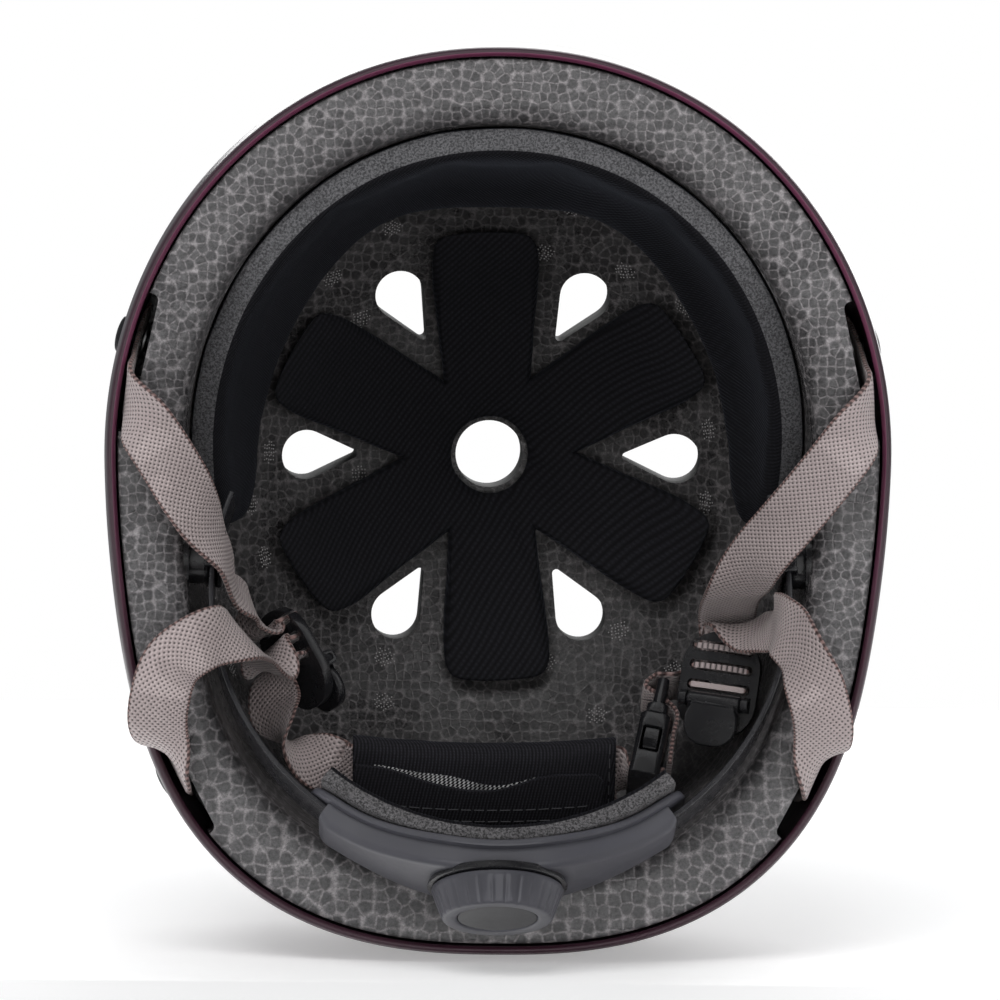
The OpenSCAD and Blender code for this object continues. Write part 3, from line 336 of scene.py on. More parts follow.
def helper_object(name, mesh):
    made = bpy.data.objects.new(name, mesh)
    bpy.context.scene.collection.objects.link(made)
    return made


def piece(name, mesh, materials, body, stands_for=(), marks=()):
    """Puts a mesh in the scene as a finished piece; marks give each face its material."""
    made = helper_object(name, mesh)
    mesh.materials.clear()
    for material in materials:
        mesh.materials.append(material)
    if body:
        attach(made, body)
    if stands_for:
        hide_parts(*stands_for)
    for face, mark in zip(mesh.polygons, marks):
        face.material_index = mark
    return made


def evaluated_mesh(made):
    """The mesh that an object's modifiers make."""
    shown = bpy.context.evaluated_depsgraph_get()
    return bpy.data.meshes.new_from_object(made.evaluated_get(shown))


def modified(name, mesh, kind, **settings):
    """A mesh after one modifier, on an object that is removed again."""
    made = helper_object(name, mesh)
    modifier = made.modifiers.new(name, kind)
    for key, value in settings.items():
        setattr(modifier, key, value)
    result = evaluated_mesh(made)
    bpy.data.objects.remove(made)
    return result


def subdivided(mesh):
    return modified("subdivided", mesh, "SUBSURF", levels=1, render_levels=1)


def cut_away(mesh, cutter_mesh):
    """Cuts one mesh out of another and returns the result."""
    cutter = helper_object("cutter", cutter_mesh)
    result = modified("cut", mesh, "BOOLEAN", operation="DIFFERENCE", solver="EXACT",
                      object=cutter)
    bpy.data.objects.remove(cutter)
    return result


def join_meshes(name, meshes):
    made = bmesh.new()
    for mesh in meshes:
        made.from_mesh(mesh)
    joined = bpy.data.meshes.new(name)
    made.to_mesh(joined)
    made.free()
    return joined


print("points nearer than", WELD, "m are welded")

# %% [markdown]
# ## Finishes
# Each finish is one node tree on Object coordinates, or on a piece's own UV map where a weave has
# to follow a strap. The patterns are built from sines and cells at their real size, so a weave has
# as many ribs as the real one, and the same pattern drives both colour and bump.

# %% Pattern helpers
def finish_tree(name, **shader_inputs):
    """A material with one shader, whose plain values sit on the shader's own sockets."""
    material, tree = empty_material(name)
    shader = add(tree, "ShaderNodeBsdfPrincipled", shader_inputs)
    add(tree, "ShaderNodeOutputMaterial", {"Surface": shader.outputs[0]})
    return material, tree, shader


def math_node(tree, operation, *values):
    return add(tree, "ShaderNodeMath", dict(enumerate(values)), operation=operation).outputs[0]


def times(tree, first, second):
    return math_node(tree, "MULTIPLY", first, second)


def wave_of(tree, coordinate, period):
    """A sine between -1 and 1 that repeats after a period."""
    return math_node(tree, "SINE", times(tree, coordinate, 2 * math.pi / period))


def blend_colors(tree, share, first, second):
    mix = add(tree, "ShaderNodeMix", {"Factor": share}, data_type="RGBA")
    for socket, color in ((mix.inputs[6], first), (mix.inputs[7], second)):
        if isinstance(color, bpy.types.NodeSocket):
            tree.links.new(color, socket)
        else:
            socket.default_value = (*color, 1)
    return mix.outputs[2]


def blend_values(tree, share, first, second):
    mix = add(tree, "ShaderNodeMix", {0: share, 2: first, 3: second}, data_type="FLOAT")
    return mix.outputs[0]


def span(tree, value, low, high, to_low=0.0, to_high=1.0):
    return add(tree, "ShaderNodeMapRange", {"Value": value, "From Min": low, "From Max": high,
                                            "To Min": to_low, "To Max": to_high}).outputs[0]


def grain(tree, place, scale, detail=2.0, roughness=0.5):
    return add(tree, "ShaderNodeTexNoise", {"Vector": place, "Scale": scale, "Detail": detail,
                                            "Roughness": roughness}).outputs[0]


def painted(tree, shader, color):
    tree.links.new(color, shader.inputs["Base Color"])


def bumped(tree, shader, height, distance, strength):
    bump = add(tree, "ShaderNodeBump", {"Height": height, "Distance": distance,
                                        "Strength": strength})
    tree.links.new(bump.outputs[0], shader.inputs["Normal"])


def object_place(tree):
    return add(tree, "ShaderNodeTexCoord").outputs["Object"]


def axes_of(tree, place):
    return add(tree, "ShaderNodeSeparateXYZ", {0: place}).outputs


print("materials before the helmet's own:", len(bpy.data.materials))

# %% [markdown]
# ### Expanded foam
# The liner is made of beads that swelled against each other in a mould, so its skin is a net of
# cells, each a little darker or lighter than the next, with paler seams. The rim is dull, and its
# beads are larger at the rear. Inside the cavity the mould squeezed the skin smooth, so it is
# glossy with fainter seams; its darker colour there is painted shade.

# %% Foam finish
BEAD, RIM_BEAD = 0.0026, 0.0035
CAVITY_CHART_R = 0.083


def bead_net(tree, place, bead):
    """Round cells at a real size: a random tint for each, and how near a point is to a seam."""
    net = {"Vector": place, "Scale": 1 / bead, "Randomness": 0.66}
    cells = add(tree, "ShaderNodeTexVoronoi", net, voronoi_dimensions="2D")
    seams = add(tree, "ShaderNodeTexVoronoi", net, voronoi_dimensions="2D",
                feature="DISTANCE_TO_EDGE")
    between = add(tree, "ShaderNodeMapRange", {
        "Value": cells.outputs["Distance"], "From Min": 0.37, "From Max": 0.74},
        interpolation_type="SMOOTHSTEP")
    along = add(tree, "ShaderNodeMapRange", {
        "Value": seams.outputs[0], "From Min": 0.0, "From Max": 0.15, "To Min": 0.75,
        "To Max": 0.0}, interpolation_type="SMOOTHSTEP")
    return (axes_of(tree, cells.outputs["Color"])[0],
            math_node(tree, "MAXIMUM", between.outputs[0], along.outputs[0]))


def foam_finish():
    """Bead nets seen from below and on the upright walls, larger at the rear of the rim."""
    material, tree, shader = finish_tree("bead_foam", **{"Specular IOR Level": 0.5})
    place = object_place(tree)
    wobble = add(tree, "ShaderNodeTexNoise", {"Vector": place, "Scale": 260, "Detail": 1})
    shifted = add(tree, "ShaderNodeVectorMath", {
        0: wobble.outputs[1], 1: (0.0006,) * 3, 2: place}, operation="MULTIPLY_ADD").outputs[0]
    x, y, z = axes_of(tree, shifted)[:3]
    around = times(tree, math_node(tree, "ARCTAN2", x, y), CAVITY_CHART_R)
    wall = add(tree, "ShaderNodeCombineXYZ", {0: around, 1: z}).outputs[0]
    nets = [bead_net(tree, chart, bead)
            for chart, bead in ((shifted, BEAD), (shifted, RIM_BEAD), (wall, BEAD))]
    facing = axes_of(tree, add(tree, "ShaderNodeNewGeometry").outputs["Normal"])[2]
    steep = span(tree, math_node(tree, "ABSOLUTE", facing), 0.25, 0.45, 1.0, 0.0)
    patches = grain(tree, place, 30, 3)
    inside = span(tree, math_node(tree, "MULTIPLY_ADD", patches, 0.012, z), 0.014, 0.026)
    outside = math_node(tree, "SUBTRACT", 1.0, inside)
    rear = times(tree, span(tree, y, 0.03, 0.06), outside)
    tint, seam = [blend_values(tree, steep, blend_values(tree, rear, small, large), upright)
                  for small, large, upright in zip(*nets)]
    seam = times(tree, seam, span(tree, patches, 0.3, 0.7, 0.6, 1.05))
    dust = span(tree, grain(tree, place, 1100, 3, 0.75), 0.33, 0.7, 0.4, 1.65)
    bead_out = blend_colors(tree, tint, (0.03, 0.029, 0.0305), (0.062, 0.06, 0.062))
    # Painted shade: beads and seams inside the cavity are painted darker than on the rim.
    bead_in_shaded = blend_colors(tree, tint, (0.026, 0.025, 0.0257), (0.05, 0.0485, 0.049))
    rim = blend_colors(tree, seam, bead_out, (0.182, 0.17, 0.175))
    cavity = blend_colors(tree, seam, bead_in_shaded, (0.108, 0.101, 0.103))
    color = blend_colors(tree, inside, rim, cavity)
    painted(tree, shader, add(tree, "ShaderNodeVectorMath", {0: color, "Scale": dust},
                              operation="SCALE").outputs[0])
    skin = span(tree, grain(tree, place, 42, 3), 0.38, 0.62, 0.0, 0.26)
    beside = span(tree, math_node(tree, "ABSOLUTE", x), 0.07, 0.084, 0.0, 0.16)
    rough = math_node(tree, "SUBTRACT", span(tree, inside, 0, 1, 0.58, 0.46), skin)
    tree.links.new(math_node(tree, "SUBTRACT", rough, beside), shader.inputs["Roughness"])
    relief = math_node(tree, "SUBTRACT", times(tree, tint, 0.3), seam)
    bumped(tree, shader, relief, 0.00018, 0.8)
    return material


FOAM = foam_finish()
print("foam beads", BEAD, "m wide, at the rear of the rim", RIM_BEAD)

# %% [markdown]
# ### Webbing
# Polyester webbing is woven from thick yarns. From close by it is a lattice of pale lumps with
# small dark holes between them, and both edges carry a reddish binding yarn. Two sines across the
# strap and along it give that lattice; the strap's UV map holds millimetres, so its scale is true.

# %% Webbing finish
WEB_W, WEB_T = 16.0, 1.5
WEAVE = 1.55


def webbing_finish():
    material, tree, shader = finish_tree("woven_webbing", **{
        "Roughness": 0.5, "Sheen Weight": 0.2, "Sheen Roughness": 0.4})
    chart = add(tree, "ShaderNodeUVMap", uv_map="strap")
    across, along = axes_of(tree, chart.outputs[0])[:2]
    lattice = times(tree, wave_of(tree, across, WEAVE), wave_of(tree, along, WEAVE))
    fibre = grain(tree, object_place(tree), 2600, 3, 0.6)
    broad_patches = grain(tree, object_place(tree), 90, 3)
    lumps = span(tree, lattice, -0.95, -0.15)
    lumps = times(tree, lumps, span(tree, fibre, 0.25, 0.75, 0.75, 1.1))
    pale = blend_colors(tree, broad_patches, (0.32, 0.262, 0.26), (0.43, 0.365, 0.36))
    cloth = blend_colors(tree, lumps, (0.018, 0.012, 0.012), pale)
    edge = span(tree, math_node(tree, "ABSOLUTE", across), WEB_W / 2 - 0.6, WEB_W / 2 - 0.4)
    binding = blend_colors(tree, span(tree, wave_of(tree, along, 1.3), -0.6, 0.8),
                           (0.03, 0.013, 0.012), (0.2, 0.125, 0.115))
    painted(tree, shader, blend_colors(tree, edge, cloth, binding))
    height = math_node(tree, "ADD", span(tree, lattice, -0.9, 0.9), times(tree, fibre, 0.2))
    bumped(tree, shader, height, 0.0004, 0.9)
    return material


WEBBING = webbing_finish()
print("webbing", WEB_W, "x", WEB_T, "mm, a yarn every", WEAVE, "mm")

# %% [markdown]
# ### Knitted covers
# The pads are covered with black knit, brushed to a soft nap. Fine ribs run over it, one or two
# millimetres apart, and a little sheen lifts the edges that turn away. The brow pad is cut from
# foam sheet, so its narrow edge shows the open grey cells of the core.

# %% Knit, cut foam and hook tape
def knit_finish(name, dark, pale, rib, lean):
    material, tree, shader = finish_tree(name, **{
        "Roughness": 0.85, "Sheen Weight": 0.08, "Sheen Roughness": 0.3,
        "Sheen Tint": (0.55, 0.6, 0.75, 1), "Specular IOR Level": 0.15})
    place = object_place(tree)
    x, y, z = axes_of(tree, place)[:3]
    slant = math_node(tree, "MULTIPLY_ADD", y, lean, x)
    slant = math_node(tree, "MULTIPLY_ADD", z, 0.6, slant)
    cross = math_node(tree, "MULTIPLY_ADD", x, -lean, y)
    ribs = span(tree, wave_of(tree, slant, rib), -1, 1)
    links = span(tree, wave_of(tree, cross, rib * 0.8), -1, 1)
    loops = times(tree, ribs, span(tree, links, 0, 1, 0.55, 1.0))
    fuzz = grain(tree, place, 1900, 3, 0.7)
    share = times(tree, loops, span(tree, fuzz, 0.3, 0.7, 0.4, 1.0))
    painted(tree, shader, blend_colors(tree, share, dark, pale))
    bumped(tree, shader, math_node(tree, "MULTIPLY_ADD", fuzz, 0.4, loops), 0.0002, 0.8)
    return material


def cut_foam_finish(name, dark, pale):
    material, tree, shader = finish_tree(name, Roughness=0.8)
    place = object_place(tree)
    pores = grain(tree, place, 1700, 2, 0.7)
    cloud = grain(tree, place, 160, 2)
    share = times(tree, span(tree, pores, 0.38, 0.62), span(tree, cloud, 0, 1, 0.6, 1.1))
    painted(tree, shader, blend_colors(tree, share, dark, pale))
    bumped(tree, shader, pores, 0.00025, 0.8)
    return material


def hook_tape_glint_finish():
    """Nylon hooks: rows of small slanting points on a black ground, painted pale in broad patches
    as a painted highlight.
    """
    material, tree, shader = finish_tree("hook_tape", **{
        "Roughness": 0.22, "Specular IOR Level": 0.8})
    place = object_place(tree)
    x, y = axes_of(tree, place)[:2]
    slanting = wave_of(tree, math_node(tree, "MULTIPLY_ADD", y, 0.7, x), 0.0012)
    hooks = span(tree, times(tree, slanting, wave_of(tree, y, 0.0016)), -0.15, 0.45)
    # Painted highlight: the hooks are painted pale where a broad noise allows.
    broad_patches = span(tree, grain(tree, place, 70, 2), 0.36, 0.56, 0.25)
    painted(tree, shader, blend_colors(tree, times(tree, hooks, broad_patches), (0.006, 0.006, 0.007),
                                       (0.6, 0.6, 0.61)))
    bumped(tree, shader, hooks, 0.0003, 0.9)
    return material


KNIT = knit_finish("knit_black", (0.0025, 0.0025, 0.0035), (0.011, 0.011, 0.0145), 0.0011, 0.8)
TWILL = knit_finish("knit_twill", (0.0045, 0.0045, 0.0055), (0.019, 0.019, 0.024), 0.0021, 0.8)
RIBBED = knit_finish("knit_ribbed", (0.0035, 0.0035, 0.0045), (0.03, 0.029, 0.036), 0.00095, 0.0)
BROW_EDGE = cut_foam_finish("cut_foam_dark", (0.013, 0.013, 0.015), (0.105, 0.104, 0.11))
STRIP_EDGE = cut_foam_finish("cut_foam_pale", (0.009, 0.0088, 0.0095), (0.135, 0.13, 0.136))
# Hook tape with a painted highlight on its hooks.
HOOK_TAPE_GLINT = hook_tape_glint_finish()
print("soft finishes", [m.name for m in (KNIT, TWILL, RIBBED, BROW_EDGE, STRIP_EDGE, HOOK_TAPE_GLINT)])

# %% [markdown]
# ### Plastics and metal
# The shell is injection moulded and satin and dark plum. A brighter plum on its rim is a painted
# highlight, and that rim colour darkens towards the nape as painted shade. Dividers, buckle and
# bands are black and shinier; the cradle and its dial are slate grey with a finer matt grain. A
# low noise in the roughness keeps each from looking like one flat colour.

# %% Plastic and metal finishes
def plastic_finish(name, color, other, rough, spread=0.12, fine=3200, depth=0.00002, rear=None,
                   **extra):
    """A moulding's skin; with a rear colour, it darkens towards the nape as painted shade."""
    material, tree, shader = finish_tree(name, **extra)
    place = object_place(tree)
    shade = blend_colors(tree, grain(tree, place, 60, 3), color, other)
    # Painted shade: the colour darkens towards the nape.
    if rear:
        shade = blend_colors(tree, span(tree, axes_of(tree, place)[1], -0.03, 0.05), shade, rear)
    painted(tree, shader, shade)
    handled = grain(tree, place, 140, 4, 0.6)
    tree.links.new(span(tree, handled, 0.3, 0.7, rough - spread / 2, rough + spread / 2),
                   shader.inputs["Roughness"])
    bumped(tree, shader, grain(tree, place, fine, 2), depth, 0.6)
    return material


SHELL_LOOK = {"rough": 0.34, "spread": 0.08, "fine": 900, "depth": 0.00001, "Metallic": 0.3,
              "Coat Weight": 0.4, "Coat Roughness": 0.2}
SHELL_PLASTIC = plastic_finish("shell_plum", (0.022, 0.0065, 0.013), (0.03, 0.0085, 0.0175),
                               **SHELL_LOOK)
# Painted highlight: a brighter plum for the rim's inner half, with painted shade towards the nape.
SHELL_EDGE_HIGHLIGHT = plastic_finish("shell_plum_edge_highlight", (0.085, 0.014, 0.042), (0.11, 0.02, 0.054),
                            rear=(0.028, 0.0075, 0.0155), **SHELL_LOOK)
# Painted shade: near black for the walls inside the vents.
VENT_SHADE = plastic_finish("shaded_vent_wall", (0.0025, 0.0024, 0.0025), (0.004, 0.0038, 0.004), 0.75)
BLACK_PLASTIC = plastic_finish("moulded_black", (0.006, 0.006, 0.007), (0.01, 0.01, 0.0115), 0.26,
                               **{"Coat Weight": 0.4, "Coat Roughness": 0.1})
GREY_PLASTIC = plastic_finish("moulded_slate", (0.046, 0.046, 0.056), (0.056, 0.056, 0.067), 0.42)
CAP_PLASTIC = plastic_finish("moulded_cap", (0.009, 0.009, 0.011), (0.013, 0.013, 0.0155), 0.55)
BAND_PLASTIC = plastic_finish("band_black", (0.012, 0.012, 0.014), (0.02, 0.02, 0.023), 0.25)
PALE_PLASTIC = plastic_finish("pinion_ivory", (0.58, 0.56, 0.5), (0.63, 0.61, 0.55), 0.4)
BLACK_STEEL = plastic_finish("blackened_steel", (0.02, 0.02, 0.022), (0.032, 0.032, 0.035), 0.4,
                             Metallic=1.0)
STEEL = plastic_finish("brushed_steel", (0.5, 0.5, 0.5), (0.6, 0.6, 0.6), 0.3, 0.15, fine=1500,
                       Metallic=1.0)
print("finishes", len(bpy.data.materials))

# %% [markdown]
# ## The shell
# The solid shell has 72 flats around it. This skin has 288, a rim that is fully rounded, and the
# same crown vent and six teardrops cut through. The angles start where a vent does, so the cut
# never slips between two facets.

# %% Outer shell
AROUND = [360 * i / 288 for i in range(288)]


def rounded_path(rings, rounds):
    """Rounds the path that a stack of rings takes, by cutting its corners."""
    for _ in range(rounds):
        cut = [rings[0]]
        for first, second in zip(rings, rings[1:]):
            cut += [[p.lerp(q, share) for p, q in zip(first, second)] for share in (0.25, 0.75)]
        rings = cut + [rings[-1]]
    return rings


def rim_ring(inset, pinched, share, rise):
    return [plan_point(a, (plan_r(a, inset) - pinched * pinch(a)) * share, rim_z(a) + rise)
            for a in AROUND]


def wall_rings(inset, start, count, thinner=0.0):
    """Rings from just above the rim up to the widest ring, with a wall that thins to the rim."""
    return [[wall_point(a, inset - thinner * (1 - s / count) ** 2,
                        rim_z(a) + start + (WAIST_Z - rim_z(a) - start) * s / count)
             for a in AROUND] for s in range(count)]


def dome_rings(inset, angles):
    return [[dome_point(a, t, inset) for a in AROUND] for t in angles]


DOME_STEPS = [1.2 * k for k in range(73)] + [88.4, 89.4]
RIM_ROUND, RIM_WALL = 1.5, 2.3
TUCK_SHARE = 1 - RIM_TUCK / (SHELL_W / 2)
outside = wall_rings(0, RIM_ROUND, 8) + dome_rings(0, DOME_STEPS)
inside = (wall_rings(SHELL_WALL, RIM_ROUND, 8, SHELL_WALL - RIM_WALL)
          + dome_rings(SHELL_WALL, DOME_STEPS[::2]))
rim_turn = [rim_ring(RIM_WALL / 2 * (1 - math.cos(math.pi * k / 8)), 1, TUCK_SHARE,
                     RIM_ROUND * (1 - math.sin(math.pi * k / 8))) for k in range(1, 8)]
shell_mesh = skin_mesh("outer_shell", outside[::-1] + rim_turn + inside)
print("shell before its vents", len(shell_mesh.polygons), "faces")

# %% Vents through the shell
def circle(y, r, count=64):
    return [(r * cos_d(360 * k / count), y + r * sin_d(360 * k / count)) for k in range(count)]


TIP_ROUND, DRAFT, DRAFT_FROM_Z = 1.2, 0.0008, 95


def teardrop(angle, r, ring_r, tip_r):
    """A round end far from the crown vent and straight sides to a small round tip near it."""
    lean = math.degrees(math.asin(r / (ring_r - tip_r)))
    arc = [-lean + (180 + 2 * lean) * k / 28 for k in range(29)]
    end = [180 + lean + (180 - 2 * lean) * k / 6 for k in range(7)]
    tip_y = tip_r + TIP_ROUND / sin_d(lean)
    flat = [(TIP_ROUND * cos_d(b), tip_y + TIP_ROUND * sin_d(b)) for b in end]
    flat += [(r * cos_d(b), ring_r + r * sin_d(b)) for b in arc]
    return [(x * cos_d(angle) - y * sin_d(angle), CROWN_Y + x * sin_d(angle) + y * cos_d(angle))
            for x, y in flat]


VENT_ANGLES = [30 + 60 * k for k in range(6)]


def draft(outline):
    """A prism that widens upwards, about the crown vent's axis."""
    rings = []
    for z in (60, 170):
        wider = 1 + DRAFT * (z - DRAFT_FROM_Z)
        rings.append([(x * wider, CROWN_Y + (y - CROWN_Y) * wider, z) for x, y in outline])
    return skin_mesh("draft", rings)


def vent_cutter(step):
    cutters = [draft(circle(CROWN_Y, CROWN_VENT_R + step))]
    cutters += [draft(teardrop(a, VENT_R + step, VENT_RING_R, VENT_TIP_R - 2 * step))
                for a in VENT_ANGLES]
    return join_meshes("vent_cutter", cutters)


def shaded_vent_wall(face):
    """Whether a face stands upright in one of the vents; such faces are painted black as shade."""
    from_vent = math.hypot(face.center.x, face.center.y - CROWN_Y * MM)
    return (abs(face.normal.z) < 0.35 and face.center.z > 0.085
            and from_vent < (VENT_RING_R + VENT_R + 1.5) * MM)


def rim_highlight_face(face):
    """Whether a face is on the inner half of the shell's rim, which takes a painted highlight."""
    inward = face.normal.x * face.center.x + face.normal.y * face.center.y
    return face.center.z < 0.03 and face.normal.z < -0.1 and inward < 0.012


shell_mesh = cut_away(shell_mesh, vent_cutter(0.3))
smooth(shell_mesh, 35)
# Faces in the vents take the black painted shade.
shell_marks = [1 if shaded_vent_wall(face) else 2 if rim_highlight_face(face) else 0 for face in shell_mesh.polygons]
# The rim's inner half takes the painted highlight colour.
piece("shell_skin", shell_mesh, [SHELL_PLASTIC, VENT_SHADE, SHELL_EDGE_HIGHLIGHT], "helmet",
      ["outer_shell"], shell_marks)
print("shell faces", len(shell_mesh.polygons))

# %% [markdown]
# ## The foam liner
# The liner's rim is a soft roll between the shell and the cavity. Its outline is the solid's, with
# the corners rounded off. The straps run down between shell and foam, so four notches are cut from
# the outside. The vents go on through it, and their walls are painted black as painted shade.

# %% Foam liner
FRONT_RIVET, REAR_RIVET, RIVET_Z = 109, 46, 34
FOAM_OUT = SHELL_WALL + FOAM_GAP
CHANNEL_DEPTH, CHANNEL_ROUND = 5.6, 2


def cavity_ring(t):
    top = CAVITY_TOP - CAVITY_WAIST_Z
    return [plan_point(a, plan_r(a, CAVITY_INSET) * max(cos_d(t), 0) ** (2 / CAVITY_POWER),
                       CAVITY_WAIST_Z + top * sin_d(t) ** (2 / CAVITY_POWER)) for a in AROUND]


edge_in = RIM_WALL + 0.35
LIP = [(FOAM_OUT, 1, TUCK_SHARE, 10), (edge_in + 0.5, 1, TUCK_SHARE, 5.5),
       (edge_in, 1, TUCK_SHARE, 2.2), (edge_in + 0.5, 1, TUCK_SHARE, 1.3),
       (edge_in + 2.5, 0.95, TUCK_SHARE, 1.1), (FOAM_OUT + 9, 0.75, TUCK_SHARE, 1.3),
       (CAVITY_INSET - 4.6, 0.45, 0.997, 1.7), (CAVITY_INSET - 2.2, 0.3, 1, 2.4),
       (CAVITY_INSET - 0.9, 0.15, 1, 4.2), (CAVITY_INSET - 0.2, 0.03, 1, 7.5)]
lip = [rim_ring(*values) for values in LIP]
lip.append([p.lerp(q, 0.5) for p, q in zip(lip[-1], cavity_ring(0))])
hidden = wall_rings(FOAM_OUT, 9, 3) + dome_rings(FOAM_OUT, DOME_STEPS[::3])
cavity = [cavity_ring(t) for t in DOME_STEPS]
foam_mesh = skin_mesh("foam_liner", hidden[::-1] + rounded_path(lip, 2) + cavity)
print("foam before its notches", len(foam_mesh.polygons), "faces")

# %% Strap notches and vents in the foam
def wall_out(a):
    along = wall_point(a + 0.5, 0, 0) - wall_point(a - 0.5, 0, 0)
    return Vector((-along.y, along.x, 0)).normalized()


def channel_mesh(a, width):
    """The notch for one strap, with rounded corners at its bottom."""
    place, out = wall_point(a, SHELL_WALL, RIVET_Z), wall_out(a)
    side = Vector((out.y, -out.x, 0))
    flat, low_y = width / 2 - CHANNEL_ROUND, -CHANNEL_DEPTH + CHANNEL_ROUND
    section = [(-width / 2, 10), (width / 2, 10), (width / 2, low_y)]
    section += [(flat + CHANNEL_ROUND * cos_d(b), low_y - CHANNEL_ROUND * sin_d(b))
                for b in range(15, 91, 15)]
    section += [(-flat - CHANNEL_ROUND * sin_d(b), low_y - CHANNEL_ROUND * cos_d(b))
                for b in range(0, 76, 15)]
    section += [(-width / 2, low_y)]
    return skin_mesh("channel", [
        [place + side * x + out * y + Vector((0, 0, z)) for x, y in section]
        for z in (-RIVET_Z - 12, 11)])


NOTCHES = [(FRONT_RIVET - 3, 38), (REAR_RIVET, 33), (-REAR_RIVET, 33), (3 - FRONT_RIVET, 38)]
cutters = [vent_cutter(0)] + [channel_mesh(a, width) for a, width in NOTCHES]
foam_mesh = cut_away(foam_mesh, join_meshes("foam_cutter", cutters))
smooth(foam_mesh, 38)
# The foam's vent walls take the black painted shade.
piece("foam_skin", foam_mesh, [FOAM, VENT_SHADE], "helmet", ["foam_liner"],
      [int(shaded_vent_wall(face)) for face in foam_mesh.polygons])
print("foam faces", len(foam_mesh.polygons))

# %% [markdown]
# ## Soft pads
# The crown pad and the brow pad are foam laminated with knit, and they hang on hook discs inside
# the cavity. Each starts a little slimmer than it ends: a short cloth simulation blows it up from
# inside, with a cap on how far a point may go, so the sides round over and the knit puckers a
# little where petals meet.

# %% Cloth helper
CLOTH_FRAMES = 18
CLOTH_RULES = {"quality": 6, "mass": 0.2, "tension_stiffness": 12, "compression_stiffness": 12,
               "shear_stiffness": 6, "bending_stiffness": 0.4, "use_pressure": True}


def puffed(mesh, pressure, cap, held):
    """Blows a closed mesh up as cloth and keeps each point within a distance of its start."""
    start = [v.co.copy() for v in mesh.vertices]
    made = helper_object("puffed", mesh)
    cloth = made.modifiers.new("cloth", "CLOTH")
    for key, value in CLOTH_RULES.items():
        setattr(cloth.settings, key, value)
    cloth.settings.uniform_pressure_force = pressure
    cloth.settings.effector_weights.gravity = 0
    cloth.collision_settings.use_collision = False
    group = made.vertex_groups.new(name="held")
    for i, weight in enumerate(held):
        if weight > 0:
            group.add([i], weight, "REPLACE")
    cloth.settings.vertex_group_mass = "held"
    cloth.point_cache.frame_start, cloth.point_cache.frame_end = 1, CLOTH_FRAMES
    for frame_number in range(1, CLOTH_FRAMES + 1):
        bpy.context.scene.frame_set(frame_number)
    result = evaluated_mesh(made)
    for vertex, old in zip(result.vertices, start):
        step = vertex.co - old
        if step.length > cap * MM:
            vertex.co = old + step * (cap * MM / step.length)
    bpy.context.scene.frame_set(1)
    bpy.data.objects.remove(made)
    return result


def push_along_normals(mesh, amount):
    """Moves each vertex along its normal by what a rule gives for its place, in millimetres."""
    moves = [(v, v.normal.copy() * amount(v.co / MM) * MM) for v in mesh.vertices]
    for vertex, step in moves:
        vertex.co += step
    mesh.update()


print("cloth runs", CLOTH_FRAMES, "frames, skipped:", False)

# %% Crown pad
PAD_GAP, PAD_T, PAD_TURN = 2.35, 5.5, 2.4
PETAL_REACH, PETAL_HALF_W, PETAL_WAIST_W = 64, 16, 12.5
HOOK_RING_R, HOOK_R = 43.5, 9
PETAL_STEPS = [-30, -29, -27.6, -26, -24.4, -22.8, -21.3, -19.9, -18.6, -17.4, -16.2, -15, -13.5,
               -11.5, -9, -6, -3]
petal_angles = PETAL_STEPS + [0] + [-b for b in PETAL_STEPS[:0:-1]]
PAD_AROUND = [60 * k + b for k in range(6) for b in petal_angles]


def petal_side_r(b):
    low_y, high_y = PETAL_WAIST_W / math.tan(math.radians(30)), PETAL_REACH * 0.86
    slope = (PETAL_HALF_W - PETAL_WAIST_W) / (high_y - low_y)
    return (PETAL_WAIST_W - slope * low_y) / max(abs(sin_d(b)) - slope * cos_d(b), 0.0001)


def petal_r(b):
    return (PETAL_REACH ** -7.5 + petal_side_r(b) ** -7.5) ** (-1 / 7.5)


def pad_ring(share, inset):
    hub = CROWN_VENT_R + VENT_STEP
    ring = []
    for turn in PAD_AROUND:
        a = turn + PAD_TURN
        b = (turn + 30) % 60 - 30
        r = hub + (petal_r(b) - hub) * share
        ring.append(ceiling_point(a, r / plan_r(a, CAVITY_INSET + inset), inset))
    return ring


spread_shares = [0.03, 0.1, 0.18, 0.27, 0.36, 0.45, 0.54, 0.63, 0.72, 0.8, 0.87, 0.93, 0.97]
back = [pad_ring(s, PAD_GAP) for s in spread_shares[::2]]
face = [pad_ring(s, PAD_GAP + PAD_T * (0.93 - 0.28 * (bell(s - 0.02, 0.08) + bell(s - 0.98, 0.07))))
        for s in spread_shares]
edge = [pad_ring(0.99, PAD_GAP + 0.6), pad_ring(1, PAD_GAP + 1.7), pad_ring(1, PAD_GAP + 2.9)]
collar = [pad_ring(0, PAD_GAP + 2.9), pad_ring(0, PAD_GAP + 1.6), pad_ring(0.005, PAD_GAP + 0.6)]
crown_mesh = skin_mesh("crown_pad", back + edge + face[::-1] + collar, looped=True)


def crown_held(vertex):
    """Whether the pad is fixed at a vertex: by its collar, or by a hook disc behind it."""
    spot = vertex.co / MM - Vector((0, CROWN_Y, 0))
    hooks = min(math.hypot(spot.x - HOOK_RING_R * sin_d(60 * k + PAD_TURN),
                           spot.y - HOOK_RING_R * cos_d(60 * k + PAD_TURN)) for k in range(6))
    rim = math.hypot(spot.x, spot.y) < CROWN_VENT_R + VENT_STEP + 1.2
    return rim or (hooks < HOOK_R and vertex.normal.z > 0.3)


